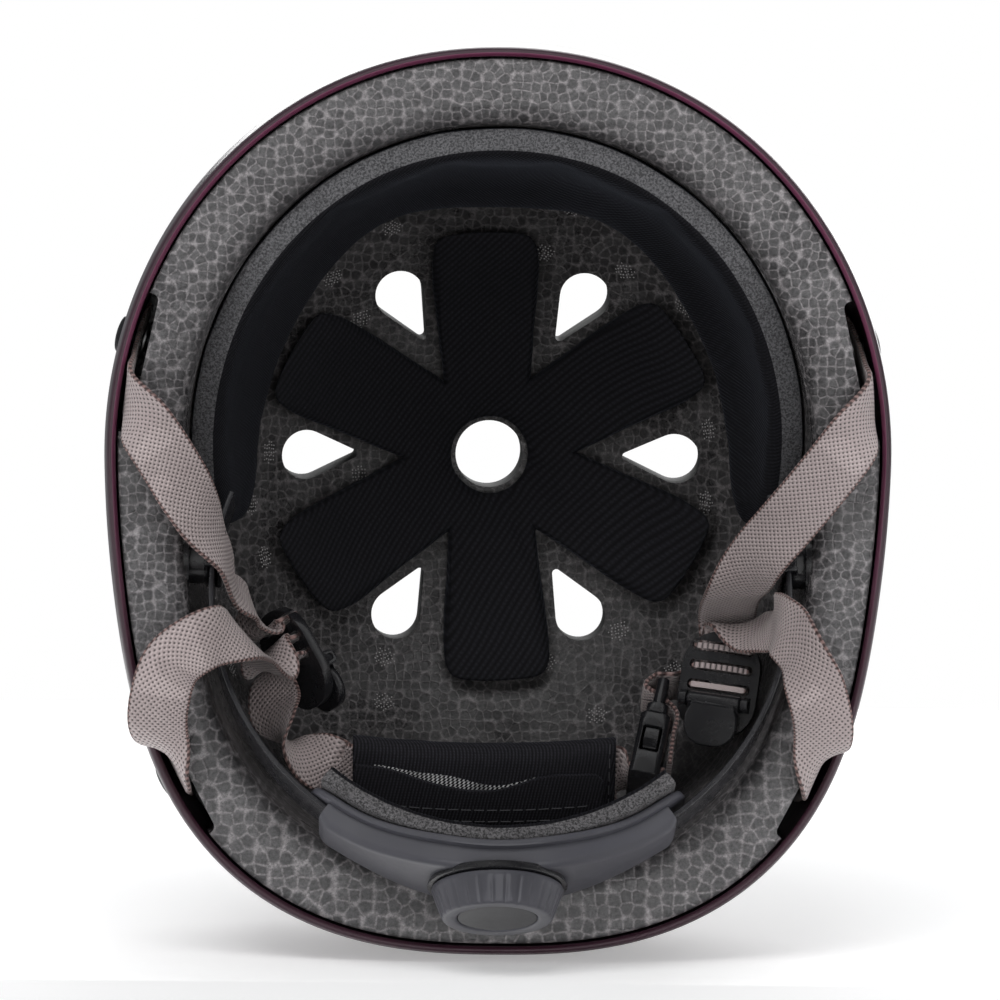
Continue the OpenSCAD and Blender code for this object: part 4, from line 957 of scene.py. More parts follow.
held = [float(crown_held(vertex)) for vertex in crown_mesh.vertices]
crown_mesh = subdivided(puffed(crown_mesh, 5, 1.3, held))
push_along_normals(crown_mesh, lambda p: 0.22 * noise.noise(p * 0.09) + 0.1 * noise.noise(p * 0.31))
smooth(crown_mesh, 60)
crown_pad = piece("crown_pad_skin", crown_mesh, [TWILL], "helmet", ["crown_pad"])
print("crown pad faces", len(crown_mesh.polygons))

# %% [markdown]
# ### Brow pad
# A crescent cut from foam sheet lies around the forehead, its lower edge just inside the rim. The
# cut edge is left open, so it shows grey; the wide face is black knit with a soft top edge that
# waves with the shape of the liner's vents.

# %% Brow pad
BROW_T, BROW_TOP, BROW_FOOT, BROW_REACH, BROW_CLIMB = 6, 71, 5, 104, 28


def brow_share(a):
    return abs(a - 180) / BROW_REACH


def brow_foot_z(a):
    climb = max(brow_share(a) - 0.45, 0) / 0.55
    return rim_z(180) + BROW_FOOT + BROW_CLIMB * climb ** 1.5


def brow_top_z(a):
    return BROW_TOP + 3 * cos_d(6 * (a - 180)) * bell(brow_share(a), 0.5)


BROW_SECTION = [
    (0.0, -0.3), (0.0, 0.0), (0.0, 0.3), (0.0, 0.52), (0.0, 0.7), (0.008, 0.88), (0.03, 0.99),
    (0.08, 1.06), (0.14, 1.09), (0.22, 1.1), (0.31, 1.1), (0.4, 1.1), (0.5, 1.1), (0.6, 1.1),
    (0.69, 1.1), (0.78, 1.09), (0.86, 1.06), (0.93, 1.0), (0.975, 0.86), (1.0, 0.6), (0.995, 0.3),
    (0.97, 0.06), (0.85, 0.0), (0.65, 0.0), (0.45, 0.0), (0.25, 0.0), (0.12, -0.2), (0.04, -0.32)]
GREY_FACES, HELD_BEFORE, HELD_AFTER = 4, 5, 20


def brow_ring(a):
    taper = max(1 - brow_share(a) ** 14, 0) ** 0.5
    foot, top = brow_foot_z(a), brow_top_z(a)
    mid, half = (foot + top) / 2, (top - foot) / 2 * (0.35 + 0.65 * taper)
    return [cavity_wall(a, mid + half * (2 * s - 1), PAD_GAP + t * BROW_T * (0.5 + 0.5 * taper))
            for s, t in BROW_SECTION]


brow_shares = [k / 60 - 1 for k in range(121)]
brow_angles = [180 - BROW_REACH * math.copysign(abs(s) ** 0.92, s) * 0.9995 for s in brow_shares]
brow_mesh = skin_mesh("brow_pad", [brow_ring(a) for a in brow_angles])
section = len(BROW_SECTION)
for number, face in enumerate(brow_mesh.polygons):
    face.material_index = int(number % section < GREY_FACES)
brow_mesh = puffed(brow_mesh, 4, 0.9, [
    float(i % section < HELD_BEFORE or i % section > HELD_AFTER)
    for i in range(len(brow_mesh.vertices))])
brow_mesh = subdivided(brow_mesh)
push_along_normals(brow_mesh, lambda p: 0.3 * noise.noise(p * 0.06) + 0.08 * noise.noise(p * 0.3))
smooth(brow_mesh, 42)
brow_marks = [face.material_index for face in brow_mesh.polygons]
brow_pad = piece("brow_pad_skin", brow_mesh, [KNIT, BROW_EDGE], "helmet",
                 ["brow_pad"], brow_marks)
print("brow pad faces", len(brow_mesh.polygons), "grey", sum(brow_marks))

# %% [markdown]
# ## Webbing
# Every strap is a ribbon through the same stations as its solid. A smooth curve runs through them,
# the weave follows a UV map in millimetres, and the two edges are rolled a little, as webbing does
# when it bends sideways.

# %% Ribbon helper
def spline(points, steps):
    """A smooth curve that passes through every point."""
    last = len(points) - 1
    curve = []
    for i in range(last):
        p0, p1, p2, p3 = (points[min(max(i + d, 0), last)] for d in (-1, 0, 1, 2))
        for k in range(steps):
            t = k / steps
            curve.append(0.5 * (2 * p1 + (p2 - p0) * t + (2 * p0 - 5 * p1 + 4 * p2 - p3) * t * t
                                + (3 * p1 - p0 - 3 * p2 + p3) * t ** 3))
    return curve + [points[last]]


def frame_of(along, face):
    y = Vector(along).normalized()
    z = Vector(face)
    z = (z - z.dot(y) * y).normalized()
    return y.cross(z), y, z


def placed(place, axes, p):
    return Vector(place) + axes[0] * p[0] + axes[1] * p[1] + axes[2] * p[2]


RIBBON_STEPS = 14
RIBBON_SHARES = [-1, -0.97, -0.9, -0.75, -0.5, -0.25, 0, 0.25, 0.5, 0.75, 0.9, 0.97, 1]


def ribbon(name, stations, curl, seed):
    """A flat woven strap through stations of a place and a width direction, in millimetres."""
    path = spline([Vector(s[0]) for s in stations], RIBBON_STEPS)
    wide = spline([Vector(s[1]).normalized() for s in stations], RIBBON_STEPS)
    flat = [0.0]
    for p, q in zip(path, path[1:]):
        flat.append(flat[-1] + (q - p).length)
    half, thick = WEB_W / 2, WEB_T / 2
    points, charts = [], []
    for i, p in enumerate(path):
        along = (path[min(i + 1, len(path) - 1)] - path[max(i - 1, 0)]).normalized()
        x = (wide[i] - wide[i].dot(along) * along).normalized()
        n = along.cross(x)
        drift = 0.12 * noise.noise(Vector((flat[i] * 0.11, seed * 7.3, 0)))
        for side in (1, -1):
            for s in RIBBON_SHARES[::side]:
                roll = curl * (abs(s) ** 3) + drift * s
                body = thick * (1 - 0.55 * max(abs(s) - 0.9, 0) / 0.1)
                points.append((p + x * (half * s) + n * (side * body + roll)) * MM)
                charts.append((half * s, flat[i]))
    mesh = bpy.data.meshes.new(name)
    mesh.from_pydata(points, [], ring_faces(2 * len(RIBBON_SHARES), len(path)))
    layer = mesh.uv_layers.new(name="strap")
    for loop in mesh.loops:
        layer.data[loop.index].uv = charts[loop.vertex_index]
    rebuilt(mesh, mesh)
    smooth(mesh, 50)
    return mesh, flat[-1]


print("a ribbon has", 2 * len(RIBBON_SHARES), "points around it")

# %% [markdown]
# ### The straps
# Four straps are riveted between shell and foam. They come out under the rim, cross the opening's
# edge and pass through the dividers' slots. The chin strap leaves the left divider, runs through
# the chin pad and ends in the buckle's socket; a shorter piece hangs between the right divider and
# the tongue, and its loose tail lies along the buckle.

# %% Strap stations
DIVIDER_T, BUCKLE_T, SOCKET_L, STEM_L = 2.8, 8.4, 19, 11
SLOTS = [10.2, 4.8, -0.6]
LEFT_DIVIDER = ((-54.5, 45.5, 42), frame_of((-0.45, -0.8, 0.15), (0.75, -0.3, 0.6)))
RIGHT_DIVIDER = ((61.9, 51.3, 37), frame_of((0.14, -1, 0.1), (-0.3, 0.1, -0.92)))
BUCKLE = ((44.4, 64.5, 41), frame_of((0.2, -0.79, 0.52), (1, 0.15, -0.1)))
left_across, right_across, across_buckle = LEFT_DIVIDER[1][0], RIGHT_DIVIDER[1][0], BUCKLE[1][0]
STRAP_INSET = SHELL_WALL + 1.3 + WEB_T / 2


def along_rim(a):
    out = wall_out(a)
    return Vector((out.y, -out.x, 0))


def start_of(side, rivet, steps, lean=0.0):
    """The hidden stations of a strap, from its rivet down between shell and foam."""
    return [(wall_point(side * (rivet + da), STRAP_INSET, RIVET_Z + dz),
             side * along_rim(side * (rivet + da)) + Vector((0, 0, lean))) for da, dz in steps]


def front_start(side):
    return start_of(side, FRONT_RIVET, [(1.8, 7), (-1.2, -5), (-5.5, -20), (-8, -29)],
                    -0.55)


def rear_start(side):
    stations = start_of(side, REAR_RIVET, [(0, 7), (0, -8), (1, -22)])
    return [(place, -width) for place, width in stations]


def through(divider, y, behind, across):
    """The last stations of a strap, through a divider's slot from behind."""
    return [(placed(*divider, (0, y, z)), across)
            for z in (*behind, -DIVIDER_T / 2, DIVIDER_T / 2 + 1)]


left_front = front_start(-1) + [
    ((-94, -19, -1), (0.5, -1, -0.1)), ((-87, -8, 0), (0.75, -1, -0.1)),
    ((-80.5, 4, 4), (0.6, -0.6, 0.5)), ((-74, 15, 12), (0.2, -0.2, 1)),
    ((-70.8, 25, 23), (0.05, -0.1, 1)), ((-67, 30, 33.5), (0, -0.1, 1)),
    (placed(*LEFT_DIVIDER, (0, SLOTS[0] + 0.8, -6)), left_across),
] + through(LEFT_DIVIDER, SLOTS[0], (), left_across)
left_rear = rear_start(-1) + [
    ((-85.5, 70.4, -0.5), (0.45, 0.9, 0.1)), ((-90, 61, -9), (1, 0.3, 0)),
    ((-89.5, 51, -13), (1, 0.2, 0)), ((-86, 42, -12), (0.8, 0.75, 0)),
    ((-76.5, 35.8, -10.5), (0.25, 1, 0)), ((-68.6, 35.8, -1), (0.6, 0.8, -0.25)),
    ((-66.8, 40, 14), (0.85, 0.5, -0.35)), ((-61.5, 47.5, 29), (0.75, 0.15, -0.65)),
] + through(LEFT_DIVIDER, SLOTS[1], (-6,), -left_across)
right_front = front_start(1) + [
    ((94, -18, -1), (-0.5, -1, -0.1)), ((86, -7, 0), (-0.75, -1, -0.1)),
    ((77.5, 4, 4), (-0.85, -0.8, 0)), ((70, 14, 11), (-0.8, -0.5, 0.3)),
    ((65.3, 24, 23), (-1, 0, 0.2)), ((64.2, 29.6, 37), (-1, 0.1, 0.2)),
    ((64.5, 35.6, 47.5), (-1, 0, 0.25)),
    (placed(*RIGHT_DIVIDER, (-0.3, 7.5, -9)), -right_across),
    (placed(*RIGHT_DIVIDER, (0, SLOTS[1] - 0.3, -5)), -right_across),
] + through(RIGHT_DIVIDER, SLOTS[1], (), -right_across)
right_rear = rear_start(1) + [
    ((85.4, 70.4, -0.5), (-0.45, 0.9, 0.1)), ((86.5, 60, -9), (-1, 0.1, 0)),
    ((84.5, 50, -13), (-1, 0.1, 0)), ((81, 40, -12), (-0.7, 0, 0.6)),
    ((77.5, 34, -7), (-0.6, 0.2, 0.7)), ((75.4, 31.8, 1), (-0.3, 0.8, 0.5)),
    ((75.4, 31.8, 11), (0, 1, 0)), ((74.6, 33.5, 20), (-0.35, 0.93, 0)),
    ((71.8, 36, 28), (-0.75, 0.66, 0)), ((66.8, 35, 36), (-1, 0.1, 0.15)),
    (placed(*RIGHT_DIVIDER, (0, 14.2, -5)), -right_across),
    (placed(*RIGHT_DIVIDER, (0, SLOTS[0] + 0.8, -4.2)), -right_across),
] + through(RIGHT_DIVIDER, SLOTS[0], (), -right_across)

print("stations", [len(s) for s in (left_front, left_rear, right_front, right_rear)])

# %% Chin strap stations
PAD_PLACE, PAD_SAG, CHIN_PAD_L = Vector((-2.6, 77.4, 33.7)), 2, 72
PAD_TILT = Vector((0, 0.94, 0.34))


def pad_centre(x):
    return PAD_PLACE + Vector((x, -PAD_SAG * (2 * x / CHIN_PAD_L) ** 2, 0))


socket_slot_y, tongue_slot_y = -SOCKET_L + 3.8, STEM_L - 3.9
left_chin = through(LEFT_DIVIDER, SLOTS[2], (-6,), -left_across)[::-1] + [
    ((-60, 55.5, 36.5), (0.9, -0.3, -0.4)), ((-59.5, 62, 33.5), (0.7, -0.1, -0.7)),
    ((-56.5, 68, 32.3), (0.2, 0.3, -1)), ((-51, 71.5, 32.3), (0, 0.8, -0.6)),
    ((-45, 73.6, 32.7), (0, 0.97, 0.05))]
left_chin += [(pad_centre(x), PAD_TILT) for x in (-39.5, -32, -22, -10, 8, 26, 31, 34.4, 36.4)]
left_chin += [(placed(*BUCKLE, (0, socket_slot_y, z)), across_buckle)
              for z in (-4.9, -1.5, BUCKLE_T / 2 + 1.2)]
beside = BUCKLE_T / 2 + 0.3 + WEB_T / 2
right_chin = through(RIGHT_DIVIDER, SLOTS[2], (), right_across)[::-1] + [
    (placed(*RIGHT_DIVIDER, (0, SLOTS[2] - 0.4, -5)), right_across),
    (placed(*RIGHT_DIVIDER, (-2.5, -3, -8.5)), right_across + Vector((0, 1, 0.1))),
    (placed(*RIGHT_DIVIDER, (-6.5, -5, -11.5)), (0.1, 1, 0.3)),
    ((53.6, 53, 53), (0.1, 0.65, 0.75))]
right_chin += [(placed(*BUCKLE, p), across_buckle) for p in [
    (0, STEM_L + 3.6, 1.5), (0, STEM_L + 2.4, -2.6), (0, STEM_L - 1.4, -beside + 0.6),
    (0, tongue_slot_y, 0), (0, tongue_slot_y - 4, beside), (0, -4, beside + 0.3),
    (0, -13, beside + 1)]]
print("stations", [len(s) for s in (left_chin, right_chin)])

# %% Strap pieces
STRAPS = [("left_front_strap", left_front, 0.25, ["left_divider", "outer_shell"]),
          ("left_rear_strap", left_rear, 0.2, ["left_divider", "outer_shell"]),
          ("right_front_strap", right_front, 0.25, ["right_divider", "outer_shell"]),
          ("right_rear_strap", right_rear, 0.2, ["right_divider", "outer_shell"]),
          ("left_chin_strap", left_chin, 0.1, ["left_divider", "buckle_socket"]),
          ("right_chin_strap", right_chin, 0.1, ["right_divider", "buckle_tongue"])]
for number, (name, stations, curl, rests) in enumerate(STRAPS):
    mesh, flat_length = ribbon(name, stations, curl, number + 1)
    loose = name == "right_chin_strap"
    made = piece(name + "_webbing", mesh, [WEBBING], None if loose else "helmet", [name])
    if loose:
        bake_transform(made)
    print(name, round(flat_length), "mm long,", len(mesh.polygons), "faces")

# %% [markdown]
# ## Moulded parts
# The solids of the dividers, the buckle and the cradle have their real shape but sharp edges. A
# copy of each is cleaned, its flat faces are merged and its edges are rounded by a millimetre or
# less. That rounding is what catches the light on real mouldings.

# %% Rounded copies of the solids
COPY_WELD, FLAT_ANGLE = 0.000003, 0.7


def softened(node, width, material, body):
    """A finished piece made from a CAD node, with rounded edges."""
    mesh = rebuilt(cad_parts[node].data, bpy.data.meshes.new(node), COPY_WELD, FLAT_ANGLE)
    made = piece(node + "_skin", mesh, [material], body, [node])
    bevel = made.modifiers.new("bevel", "BEVEL")
    bevel.limit_method = "ANGLE"
    bevel.angle_limit = math.radians(30)
    bevel.width = width * MM
    bevel.segments = 3
    bevel.use_clamp_overlap = width > 0.8
    bevel.miter_outer = "MITER_ARC"
    sharp, made_smooth = made.data, evaluated_mesh(made)
    made.modifiers.clear()
    made.data = made_smooth
    bpy.data.meshes.remove(sharp)
    smooth(made.data, 35)
    print(node, len(made.data.polygons), "faces")


MOULDINGS = [
    (BLACK_PLASTIC, "black_plastic", [
        ("left_divider", 1.0, "helmet"), ("right_divider", 1.0, "helmet"),
        ("left_divider_lever", 0.7, "left_lever"), ("right_divider_lever", 0.7, "right_lever"),
        ("buckle_socket", 0.5, "helmet"), ("buckle_tongue", 0.4, "buckle_tongue"),
        ("buckle_prongs", 0.3, "buckle_tongue"), ("temple_sockets", 0.2, "helmet"),
        ("left_temple_anchor", 0.4, "fit_cradle"), ("right_temple_anchor", 0.4, "fit_cradle")]),
    (CAP_PLASTIC, "black_plastic", [("dial_cap", 0.2, "dial")]),
    (BAND_PLASTIC, "band_plastic", [
        ("left_band", 0.3, "left_band"), ("right_band", 0.3, "right_band")]),
    (BLACK_STEEL, "steel", [("strap_rivets", 0.15, "helmet")]),
    (STEEL, "steel", [("rivet_washers", 0.1, "helmet")]),
    (BLACK_STEEL, "steel", [
        ("left_lever_pin", 0.15, "helmet"), ("right_lever_pin", 0.15, "helmet")]),
    (STEEL, "steel", [("dial_screw", 0.1, "dial"), ("detent_spring", 0.1, "fit_cradle")]),
    (PALE_PLASTIC, "pinion_plastic", [("dial_pinion", 0.1, "dial")]),
    (HOOK_TAPE_GLINT, "hook_tape", [
        ("crown_pad_hooks", 0.1, "helmet"), ("brow_pad_hooks", 0.1, "helmet")]),
]
for material, slot_name, nodes in MOULDINGS:
    for node, width, body in nodes:
        softened(node, width, material, body)

# %% [markdown]
# ## Cradle and dial
# The frame and its cover are one smooth slate form, taller at the dial and open at both ends, where
# the bands slide out. A foam strip is glued to the frame: its face is knit and its cut edge is
# pale. The dial has shallow grip notches and a dark cap in its face. The cover's boss under it is
# painted black and made wider than the dial, a painted shadow of the gap around the dial.

# %% Cradle
CRADLE_R, CRADLE_LEAN, CRADLE_Y, CRADLE_Z, CRADLE_SPAN, COVER_REACH = 76, 25, 26.5, 16.5, 41, 36
COVER_IN, COVER_OUT, DIAL_IN, SHAFT_R = 79.7, 81.9, 82.2, 3
BORE_R, PIVOT_BORE_R, BEND_R, ARM_BEND = SHAFT_R + 0.1, 2.15, 7, 33.5


def in_cradle(x, y, z):
    """A point of the cradle's leaning frame: across, out to the rear and up."""
    return Vector((x, CRADLE_Y + y * cos_d(CRADLE_LEAN) + z * sin_d(CRADLE_LEAN),
                   CRADLE_Z - y * sin_d(CRADLE_LEAN) + z * cos_d(CRADLE_LEAN)))


def on_arc(b, r, z):
    return in_cradle(r * sin_d(b), r * cos_d(b), z)


def cradle_half(b):
    """Half the cradle's height: low at the arms, tall at the dial, with round ends."""
    x = abs(CRADLE_R * sin_d(b))
    half = 10.5 + 3.25 * (1 + cos_d(180 * min(max((x - 10) / 31, 0), 1)))
    past_corner = max(x - (CRADLE_R * sin_d(CRADLE_SPAN) - BEND_R), 0)
    return half - BEND_R + math.sqrt(max(BEND_R ** 2 - past_corner ** 2, 0))


def swept(name, section, reach, steps):
    """A section of (radius, height) pairs, which may change with the angle, along the arc."""
    angles = [reach * (2 * k / steps - 1) for k in range(steps + 1)]
    return skin_mesh(name, [[on_arc(b, r, z) for r, z in section(b)] for b in angles])


def frame_section(b):
    h, r_in, r_out = cradle_half(b), CRADLE_R - 2.2, CRADLE_R
    low = [(r_in, 0.9), (r_in + 0.3, 0.25), (r_in + 0.9, 0), (r_out - 0.9, 0),
           (r_out - 0.3, 0.25), (r_out, 0.9)]
    return [(r, z - h) for r, z in low] + [(r, h - z) for r, z in low[::-1]]


def cover_section(b):
    h, turn = max(cradle_half(b) - 2, 8.5), COVER_OUT - COVER_IN
    room = max(h - turn, 7.35)
    drop = 1.4 * max(abs(b) - ARM_BEND, 0) / (COVER_REACH - ARM_BEND)
    out = COVER_OUT - drop ** 2 / 1.4
    inner = CRADLE_R + 0.05
    upper = [(inner, h), (out - turn, h)]
    upper += [(out - turn + turn * sin_d(c), h - turn + turn * cos_d(c)) for c in range(15, 91, 15)]
    return (upper + [(r, -z) for r, z in upper[::-1]]
            + [(inner, -room), (COVER_IN, -room), (COVER_IN, room), (inner, room)])


def dial_ring(r, y, count=96):
    """A circle about the dial's axis."""
    return [in_cradle(r * cos_d(360 * k / count), y, r * sin_d(360 * k / count))
            for k in range(count)]


def bore(r):
    return skin_mesh("bore", [dial_ring(r, y, 32) for y in (60, 90)])


print("cradle", round(2 * cradle_half(0), 1), "mm tall at the dial")

# %% Cradle frame and cover
frame_mesh = cut_away(swept("cradle_frame", frame_section, CRADLE_SPAN - 0.01, 96),
                      bore(PIVOT_BORE_R))
smooth(frame_mesh, 40)
piece("cradle_frame_skin", frame_mesh, [GREY_PLASTIC], "fit_cradle",
      ["cradle_frame"])

# The boss is real, but it is painted black and widened past the dial as a painted shadow.
BOSS_SHADOW_PROFILE = [(18, 80), (18.6, 81.4), (18.5, 81.8), (18.2, 81.98), (BORE_R, 81.98), (BORE_R, 80)]
cover_mesh = cut_away(swept("cradle_cover", cover_section, COVER_REACH, 96), bore(BORE_R))
cover_faces = len(cover_mesh.polygons)
boss_shadow_mesh = skin_mesh("boss", [dial_ring(r, y) for r, y in BOSS_SHADOW_PROFILE], looped=True)
cover_mesh = join_meshes("cradle_cover", [cover_mesh, boss_shadow_mesh])
smooth(cover_mesh, 40)
# The boss's faces take black plastic as the painted shadow.
piece("cradle_cover_skin", cover_mesh, [GREY_PLASTIC, BLACK_PLASTIC], "fit_cradle",
      ["cradle_cover"], [int(i >= cover_faces) for i in range(len(cover_mesh.polygons))])
print("frame faces", len(frame_mesh.polygons), "cover faces", len(cover_mesh.polygons))

# %% Foam strip
def strip_section(b):
    """Foam strip: a knit face towards the head, and a bare edge all round."""
    r_in, r_out, low, high = 68.6, 73.6, -14, 11
    return [(r_in, -9), (r_in, -12.6), (r_in + 0.25, -13.6), (r_in + 1.2, low),
            (r_in + 2.5, low - 0.1), (r_out - 0.9, low), (r_out - 0.2, -13.5), (r_out, -12),
            (r_out, 4), (r_out, 9.6), (r_out - 0.6, high), (r_in + 2.4, high + 0.1),
            (r_in + 0.7, high), (r_in, 9.8), (r_in, 3), (r_in, -3)]


STRIP_STEPS, KNIT_FACES = 90, (0, 1, 2, 13, 14, 15)
strip_mesh = swept("cradle_strip", strip_section, CRADLE_SPAN - 1, STRIP_STEPS)
for number, face in enumerate(strip_mesh.polygons):
    face.material_index = int(number % 16 not in KNIT_FACES or number >= STRIP_STEPS * 16)
strip_mesh = subdivided(strip_mesh)
push_along_normals(strip_mesh, lambda p: 0.16 * noise.noise(p * 0.15) + 0.1 * noise.noise(p * 0.5))
smooth(strip_mesh, 50)
strip = piece("cradle_strip_skin", strip_mesh, [KNIT, STRIP_EDGE], "fit_cradle",
              ["cradle_strip"], [face.material_index for face in strip_mesh.polygons])
print("strip faces", len(strip_mesh.polygons))

# %% Dial
DIAL_PROFILE = [
    (BORE_R, 84.3), (12.8, 84.3), (12.9, 82.35), (13.3, DIAL_IN), (16.9, DIAL_IN), (17.35, 82.4),
    (17.5, 82.8), (17.2, 83.8), (16.8, 85), (16.3, 86.4), (15.8, 87.8), (15.3, 89), (14.95, 89.9),
    (14.6, 90.4), (14.1, 90.66), (13.4, 90.7), (11.6, 90.66), (10.9, 90.5), (10.66, 90.2),
    (10.65, 89.28), (2.5, 89.28), (2.5, 87.65), (1.35, 87.65), (1.35, 87.1), (BORE_R, 87.1)]
RIBS, FLANK_R, TURNS = 28, 13, [360 * k / 336 for k in range(336)]


def grip(turn, y):
    """Depth of the grip notches at a place on the flank."""
    narrow = bell(turn * RIBS / 360 % 1 - 0.5, 0.13)
    fading = min(max((y - 83.4) / 1.2, 0), 1) * min(max((90.68 - y) / 0.5, 0), 1)
    return (0.28 * narrow + 0.1) * fading


dial_rings = []
for r, y in DIAL_PROFILE:
    radii = [r - (grip(t, y) if r > FLANK_R and y > DIAL_IN else 0) for t in TURNS]
    dial_rings.append([in_cradle(cut * cos_d(t), y, cut * sin_d(t))
                       for cut, t in zip(radii, TURNS)])
dial_mesh = skin_mesh("dial_knob", dial_rings, looped=True)
smooth(dial_mesh, 45)
piece("dial_knob_skin", dial_mesh, [GREY_PLASTIC], "dial", ["dial_knob"])
print("dial faces", len(dial_mesh.polygons))

# %% [markdown]
# ## Chin pad
# A padded sleeve carries the chin strap, closed by a flap of hook and loop. It sags a little
# between its ends, where the strap holds it, and it is blown up like the other pads. The flap has
# a wavy upper edge, and a strip of hook tape shows above it.

# %% Chin pad's sleeve
CHIN_PAD_H, CHIN_PAD_T, FLAP_T, FLAP_LIFT = 24.8, 8, 1.2, 0.75
PAD_DROP, PAD_COUNT = 1.9, 44
pad_out = Vector((1, 0, 0)).cross(PAD_TILT).normalized()


def pad_puff(s):
    return 0.62 + 0.38 * sin_d(180 * (0.06 + 0.88 * min(max(s, 0), 1))) ** 0.5


def squared(share):
    """A sine or cosine, pushed out towards a square with round corners."""
    return math.copysign(abs(share) ** 0.6, share)


def pad_ring_at(s, h, t, swell):
    """One section of the sleeve, as a rectangle with round corners."""
    centre = pad_centre(CHIN_PAD_L * (s - 0.5)) + PAD_TILT * (PAD_DROP if swell else 0)
    puff = pad_puff(s) if swell else 1
    angles = [360 * (k + 0.5) / PAD_COUNT for k in range(PAD_COUNT)]
    return [centre + PAD_TILT * (squared(cos_d(a)) * h / 2)
            + pad_out * (squared(sin_d(a)) * t / 2 * puff) for a in angles]


def pad_spot(x, u, lift):
    """A point over the sleeve's face: along it, down from the strap's line, and off the face."""
    across = min(abs(u - PAD_DROP) / (CHIN_PAD_H / 2), 1)
    bulge = CHIN_PAD_T / 2 * pad_puff(x / CHIN_PAD_L + 0.5) * (1 - across ** 3.3) ** 0.3
    return pad_centre(x) + PAD_TILT * u - pad_out * (bulge + lift)


pad_shares = [k / 36 for k in range(37)]
outer_rings = [pad_ring_at(s, CHIN_PAD_H, CHIN_PAD_T, True) for s in pad_shares]
inner_rings = [pad_ring_at(s, WEB_W + 4, WEB_T + 3.5, False) for s in pad_shares[::-2]]
chin_mesh = skin_mesh("chin_pad", outer_rings + inner_rings, looped=True)
first_free, last_free = 2 * PAD_COUNT, (len(outer_rings) - 2) * PAD_COUNT
chin_mesh = subdivided(puffed(chin_mesh, 4, 0.6, [
    float(not first_free <= i < last_free) for i in range(len(chin_mesh.vertices))]))
push_along_normals(chin_mesh, lambda p: 0.18 * noise.noise(p * 0.12) + 0.1 * noise.noise(p * 0.45))
smooth(chin_mesh, 60)
chin_pad = piece("chin_pad_skin", chin_mesh, [RIBBED], "helmet", ["chin_pad"])
print("chin pad faces", len(chin_mesh.polygons))

# %% Flap and hook tape
def laid_sheet(name, x_from, x_to, edges, lift, thick, steps, across):
    """A thin sheet on the sleeve between two edge lines; returns its mesh and its flat area."""
    rings, area, before = [], 0.0, None
    for k in range(steps + 1):
        x = x_from + (x_to - x_from) * (1 - math.cos(math.pi * k / steps)) / 2
        top, low_edge = edges(x)
        lines = [top + (low_edge - top) * j / across for j in range(across + 1)]
        inner, outer = [[pad_spot(x, u, off) for u in lines] for off in (lift, lift + thick)]
        rings.append(inner + outer[::-1])
        width = sum((q - p).length for p, q in zip(inner, inner[1:]))
        if before:
            area += (width + before[0]) / 2 * (x - before[1])
        before = (width, x)
    mesh = skin_mesh(name, rings)
    smooth(mesh, 40)
    return mesh, area


def flap_edges(x):
    """The flap's upper edge dips in the middle and ends in a round corner."""
    wave = 5.4 * bell(x + 3, 15) + 0.35 * sin_d(x * 16)
    into_corner = max(x - 28.6, 0)
    corner = 4.2 - math.sqrt(max(4.2 ** 2 - into_corner ** 2, 0))
    return -4.1 + wave + corner + 1.2 * max(x, 0) / 33, 13.2 - 0.6 * corner


def hook_edges(x):
    """The hook tape shows as a thin crescent above the flap's edge."""
    return flap_edges(x)[0] - 2.9 * bell(x + 9, 11), 6


flap_mesh, flap_area = laid_sheet("chin_pad_flap", -35.2, 32.78, flap_edges, FLAP_LIFT, FLAP_T,
                                  60, 16)
chin_flap = piece("chin_pad_flap_skin", flap_mesh, [RIBBED], "helmet",
                  ["chin_pad_flap"])
hook_mesh, hook_area = laid_sheet("chin_pad_hooks", -30, 14, hook_edges, 0.2, 0.45, 40, 12)
hooks = piece("chin_pad_hooks_skin", hook_mesh, [HOOK_TAPE_GLINT], "helmet")
print("flap faces", len(flap_mesh.polygons), "area", round(flap_area), "mm2")

# %% [markdown]
# ## Small repeated details
# The mould's steam vents left round clusters of pins all over the cavity; the pins are painted pale
# as painted highlights. The chin pad is sewn with two rows of stitches along it and a short row
# across one end. Geometry Nodes set both out: one tree puts clusters of pins on points, the other
# lays stitches along lines. Their results are turned into plain meshes.

# %% Geometry Nodes helpers
def node_tree(name, inputs):
    """An empty tree with a geometry input and output and the named inputs."""
    tree = bpy.data.node_groups.new(name, "GeometryNodeTree")
    tree.interface.new_socket("Geometry", in_out="INPUT", socket_type="NodeSocketGeometry")
    for label, kind in inputs:
        tree.interface.new_socket(label, in_out="INPUT", socket_type="NodeSocket" + kind)
    tree.interface.new_socket("Geometry", in_out="OUTPUT", socket_type="NodeSocketGeometry")
    return tree, tree.nodes.new("NodeGroupInput").outputs, tree.nodes.new("NodeGroupOutput").inputs


def close_tree(tree, shape, material, result):
    real = add(tree, "GeometryNodeRealizeInstances", {"Geometry": shape})
    done = add(tree, "GeometryNodeSetMaterial", {"Geometry": real.outputs[0], "Material": material})
    tree.links.new(done.outputs[0], result[0])


def grown_mesh(name, mesh, tree, values):
    """The mesh that a tree makes from another, with its inputs set by their identifiers."""
    made = helper_object(name, mesh)
    modifier = made.modifiers.new(name, "NODES")
    modifier.node_group = tree
    for label, value in values.items():
        modifier[tree.interface.items_tree[label].identifier] = value
    result = evaluated_mesh(made)
    bpy.data.objects.remove(made)
    return result


print("node groups before these two:", len(bpy.data.node_groups))

# %% Tree for the steam vent pins
PINS_ACROSS = 7


